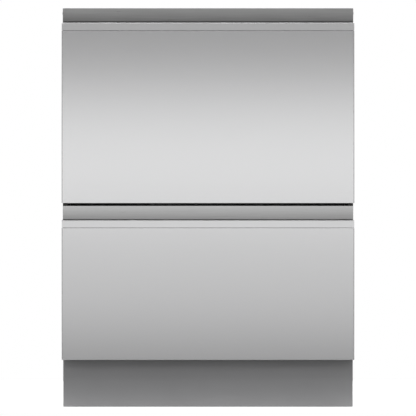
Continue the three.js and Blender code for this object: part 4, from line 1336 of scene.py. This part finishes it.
def servicePanel():
    easeNode("service_panel", "rear_service_panel", "service_plastic")
    low, high = boxOf("service_panel")
    end = high.y - low.y
    ridges = [(thread["radius"] + (thread["proud"] if i % 2 else 0), thread["start"] + i * thread["pitch"])
              for i in range(thread["count"])]
    inlet = [(8, 8), (13.2, 8), *ridges, (12.6, end - 0.3), (8, end - 0.3)]
    inletNut = [(8, 2.4), (17.6, 2.4), (17.6, 7.6), (16.4, 8.6), (8, 8.6)]
    drain = [(7.1, 5.9), (14.3, 5.9), (14.3, 6.6), (9.8, 7.2), (9.8, 9.4), (11.4, 10), (9.8, 13), (9.8, 14.6),
             (11.4, 15.2), (9.8, 18.4), (9.6, end - 0.2), (7.1, end - 0.2)]
    gland = [(4.6, 6.9), (10.6, 6.9), (10.8, 12), (9.6, 15.4), (6.4, 17.2), (4.6, 17.2)]
    glandNut = [(4.6, 2.4), (13.6, 2.4), (13.6, 6.6), (12.8, 7.4), (4.6, 7.4)]
    for place, name, finish, outlines in (
            ("inlet", "inlet_union", "brass", ((inlet, 32), (inletNut, hexSteps))),
            ("drain", "drain_spigot", "pump_plastic", ((drain, 32),)),
            ("gland", "cord_gland", "foot_plastic", ((glandNut, hexSteps), (gland, 28)))):
        x, z = fittings[place]
        bm = bmesh.new()
        for outline, steps in outlines:
            addLathe(bm, closed(outline), (x, low.y, z), steps, "Y")
        finishPiece(bm, name, finish)


footPad = [(0, 0.05), (21, 0.05), (23.4, 0.8), (24, 2), (24, 4), (23, 5), (19, 5.4), (18, 6.2), (18, 8.4),
           (17, 9), (0, 9)]
footShape = {
    "knurls": 20, "collar": 18, "knurl": [(0, 5), (1.3, 5), (1.3, 8.2), (0.6, 8.8), (0, 8.8)], "nut": 11,
    "nutBottom": 9, "nutTop": 17, "nutEdge": (0.8, 0.6), "stud": 6, "threadDeep": 0.9, "threadStart": 17.5,
    "studTop": 92, "topMargin": 19, "pitch": 1.75,
}


def levellingFoot(place):
    node = f"foot_{place}"
    shape = footShape
    low, high = boxOf(node)
    x, y = (low.x + high.x) / 2, (low.y + high.y) / 2
    bm = bmesh.new()
    addLathe(bm, footPad, (x, y, 0), 40)
    for spot in arc((x, y), shape["collar"], 0, 360, shape["knurls"])[:-1]:
        addLathe(bm, shape["knurl"], (*spot, 0), 8)
    finishPiece(bm, f"foot_pad_{place}", "foot_plastic", node)

    nut, foot, head, top = shape["nut"], shape["nutBottom"], shape["nutTop"], shape["studTop"]
    inward, down = shape["nutEdge"]
    ridges = []
    for i in range(int((top - shape["topMargin"]) / shape["pitch"])):
        z = shape["threadStart"] + i * shape["pitch"]
        ridges += [(shape["stud"] - shape["threadDeep"], z), (shape["stud"], z + shape["pitch"] / 2)]
    bm = bmesh.new()
    addLathe(bm, [(0, foot), (nut, foot), (nut, head - down), (nut - inward, head), (0, head)],
             (x, y, 0), hexSteps)
    addLathe(bm, [(0, head - 0.2), (5.1, head - 0.2), *ridges, (4.6, top), (0, top)], (x, y, 0), 14)
    finishPiece(bm, f"foot_stud_{place}", "screw_steel", body=node)


for label, side in sides.items():
    chassisSide(label, side)
chassisTop()
chassisBack()
chassisScrews()
servicePanel()
easeNode("kick_plate", "kick_panel", "kick_steel", 0.5, 2)
easeNode("mid_rail", "mid_rail_bar", "black_steel")
easeNode("base_pan", "drip_pan", "base_plastic")
for place in ("front_left", "front_right", "rear_left", "rear_right"):
    levellingFoot(place)
print("chassis made")


# stage, in metres and watts

stageValues = {
    "size": (3.2, 1.6), "middle": 0.5, "paleness": 0.9, "mottle": 0.99, "mottleScale": 1.5, "rough": 0.7,
    "glow": 0.9, "otherRays": 0.22, "backdrop": 1.0,
}
ceiling = {"place": (0, 0.5, 2.6), "size": (3.6, 2.4), "spread": 60, "power": 16}
strips = {"distance": -1.6, "size": (3.4, 0.15), "powers": {  # by the height of a strip's middle
    0.17: 1.38, 0.32: 0.86, 0.47: 2.03, 0.62: 1.98, 1.07: 1.93,
}}


def floorPlane():
    bm = bmesh.new()
    bmesh.ops.create_grid(bm, x_segments=2, y_segments=2, size=0.5)
    bmesh.ops.scale(bm, vec=(*stageValues["size"], 1), verts=bm.verts)
    bmesh.ops.translate(bm, vec=(0, stageValues["middle"], 0), verts=bm.verts)
    mesh = bpy.data.meshes.new("floor")
    bm.to_mesh(mesh)
    bm.free()
    floor = bpy.data.objects.new("floor", mesh)
    recipe = Recipe("pale floor")
    patches = recipe.noise(stageValues["mottleScale"])
    mesh.materials.append(recipe.surface({
        "Base Color": recipe.toned(patches, (stageValues["paleness"],) * 3, stageValues["mottle"], 1),
        "Roughness": stageValues["rough"],
        "Emission Color": (1, 1, 1, 1), "Emission Strength": stageValues["glow"],
    }))
    bpy.context.scene.collection.objects.link(floor)


def softLight(name, place, aim, size, power, spread=180):
    data = bpy.data.lights.new(name, "AREA")
    data.shape = "RECTANGLE"
    data.size, data.size_y = size
    data.energy = power
    data.spread = radians(spread)
    lamp = bpy.data.objects.new(name, data)
    lamp.location = place
    lamp.rotation_euler = (Vector(aim) - Vector(place)).to_track_quat("-Z", "Y").to_euler()
    lamp.visible_camera = False
    bpy.context.scene.collection.objects.link(lamp)


def studioWorld():  # the camera sees a white backdrop, and reflections see a dimmer room
    world = bpy.data.worlds.new("studio")
    bpy.context.scene.world = world
    world.use_nodes = True
    tree = world.node_tree
    tree.nodes.clear()
    shades = [tree.nodes.new("ShaderNodeBackground") for _ in range(2)]
    for background, level in zip(shades, (stageValues["otherRays"], stageValues["backdrop"])):
        background.inputs["Color"].default_value = (level, level, level, 1)
    path = tree.nodes.new("ShaderNodeLightPath")
    mix = tree.nodes.new("ShaderNodeMixShader")
    out = tree.nodes.new("ShaderNodeOutputWorld")
    tree.links.new(path.outputs["Is Camera Ray"], mix.inputs[0])
    tree.links.new(shades[0].outputs[0], mix.inputs[1])
    tree.links.new(shades[1].outputs[0], mix.inputs[2])
    tree.links.new(mix.outputs[0], out.inputs["Surface"])


floorPlane()
studioWorld()
for height, power in strips["powers"].items():
    softLight(f"strip {height}", (0, strips["distance"], height), (0, 0, height), strips["size"], power)
softLight("ceiling", ceiling["place"], (0, ceiling["place"][1], 0), ceiling["size"], ceiling["power"],
          ceiling["spread"])
print("stage lit")
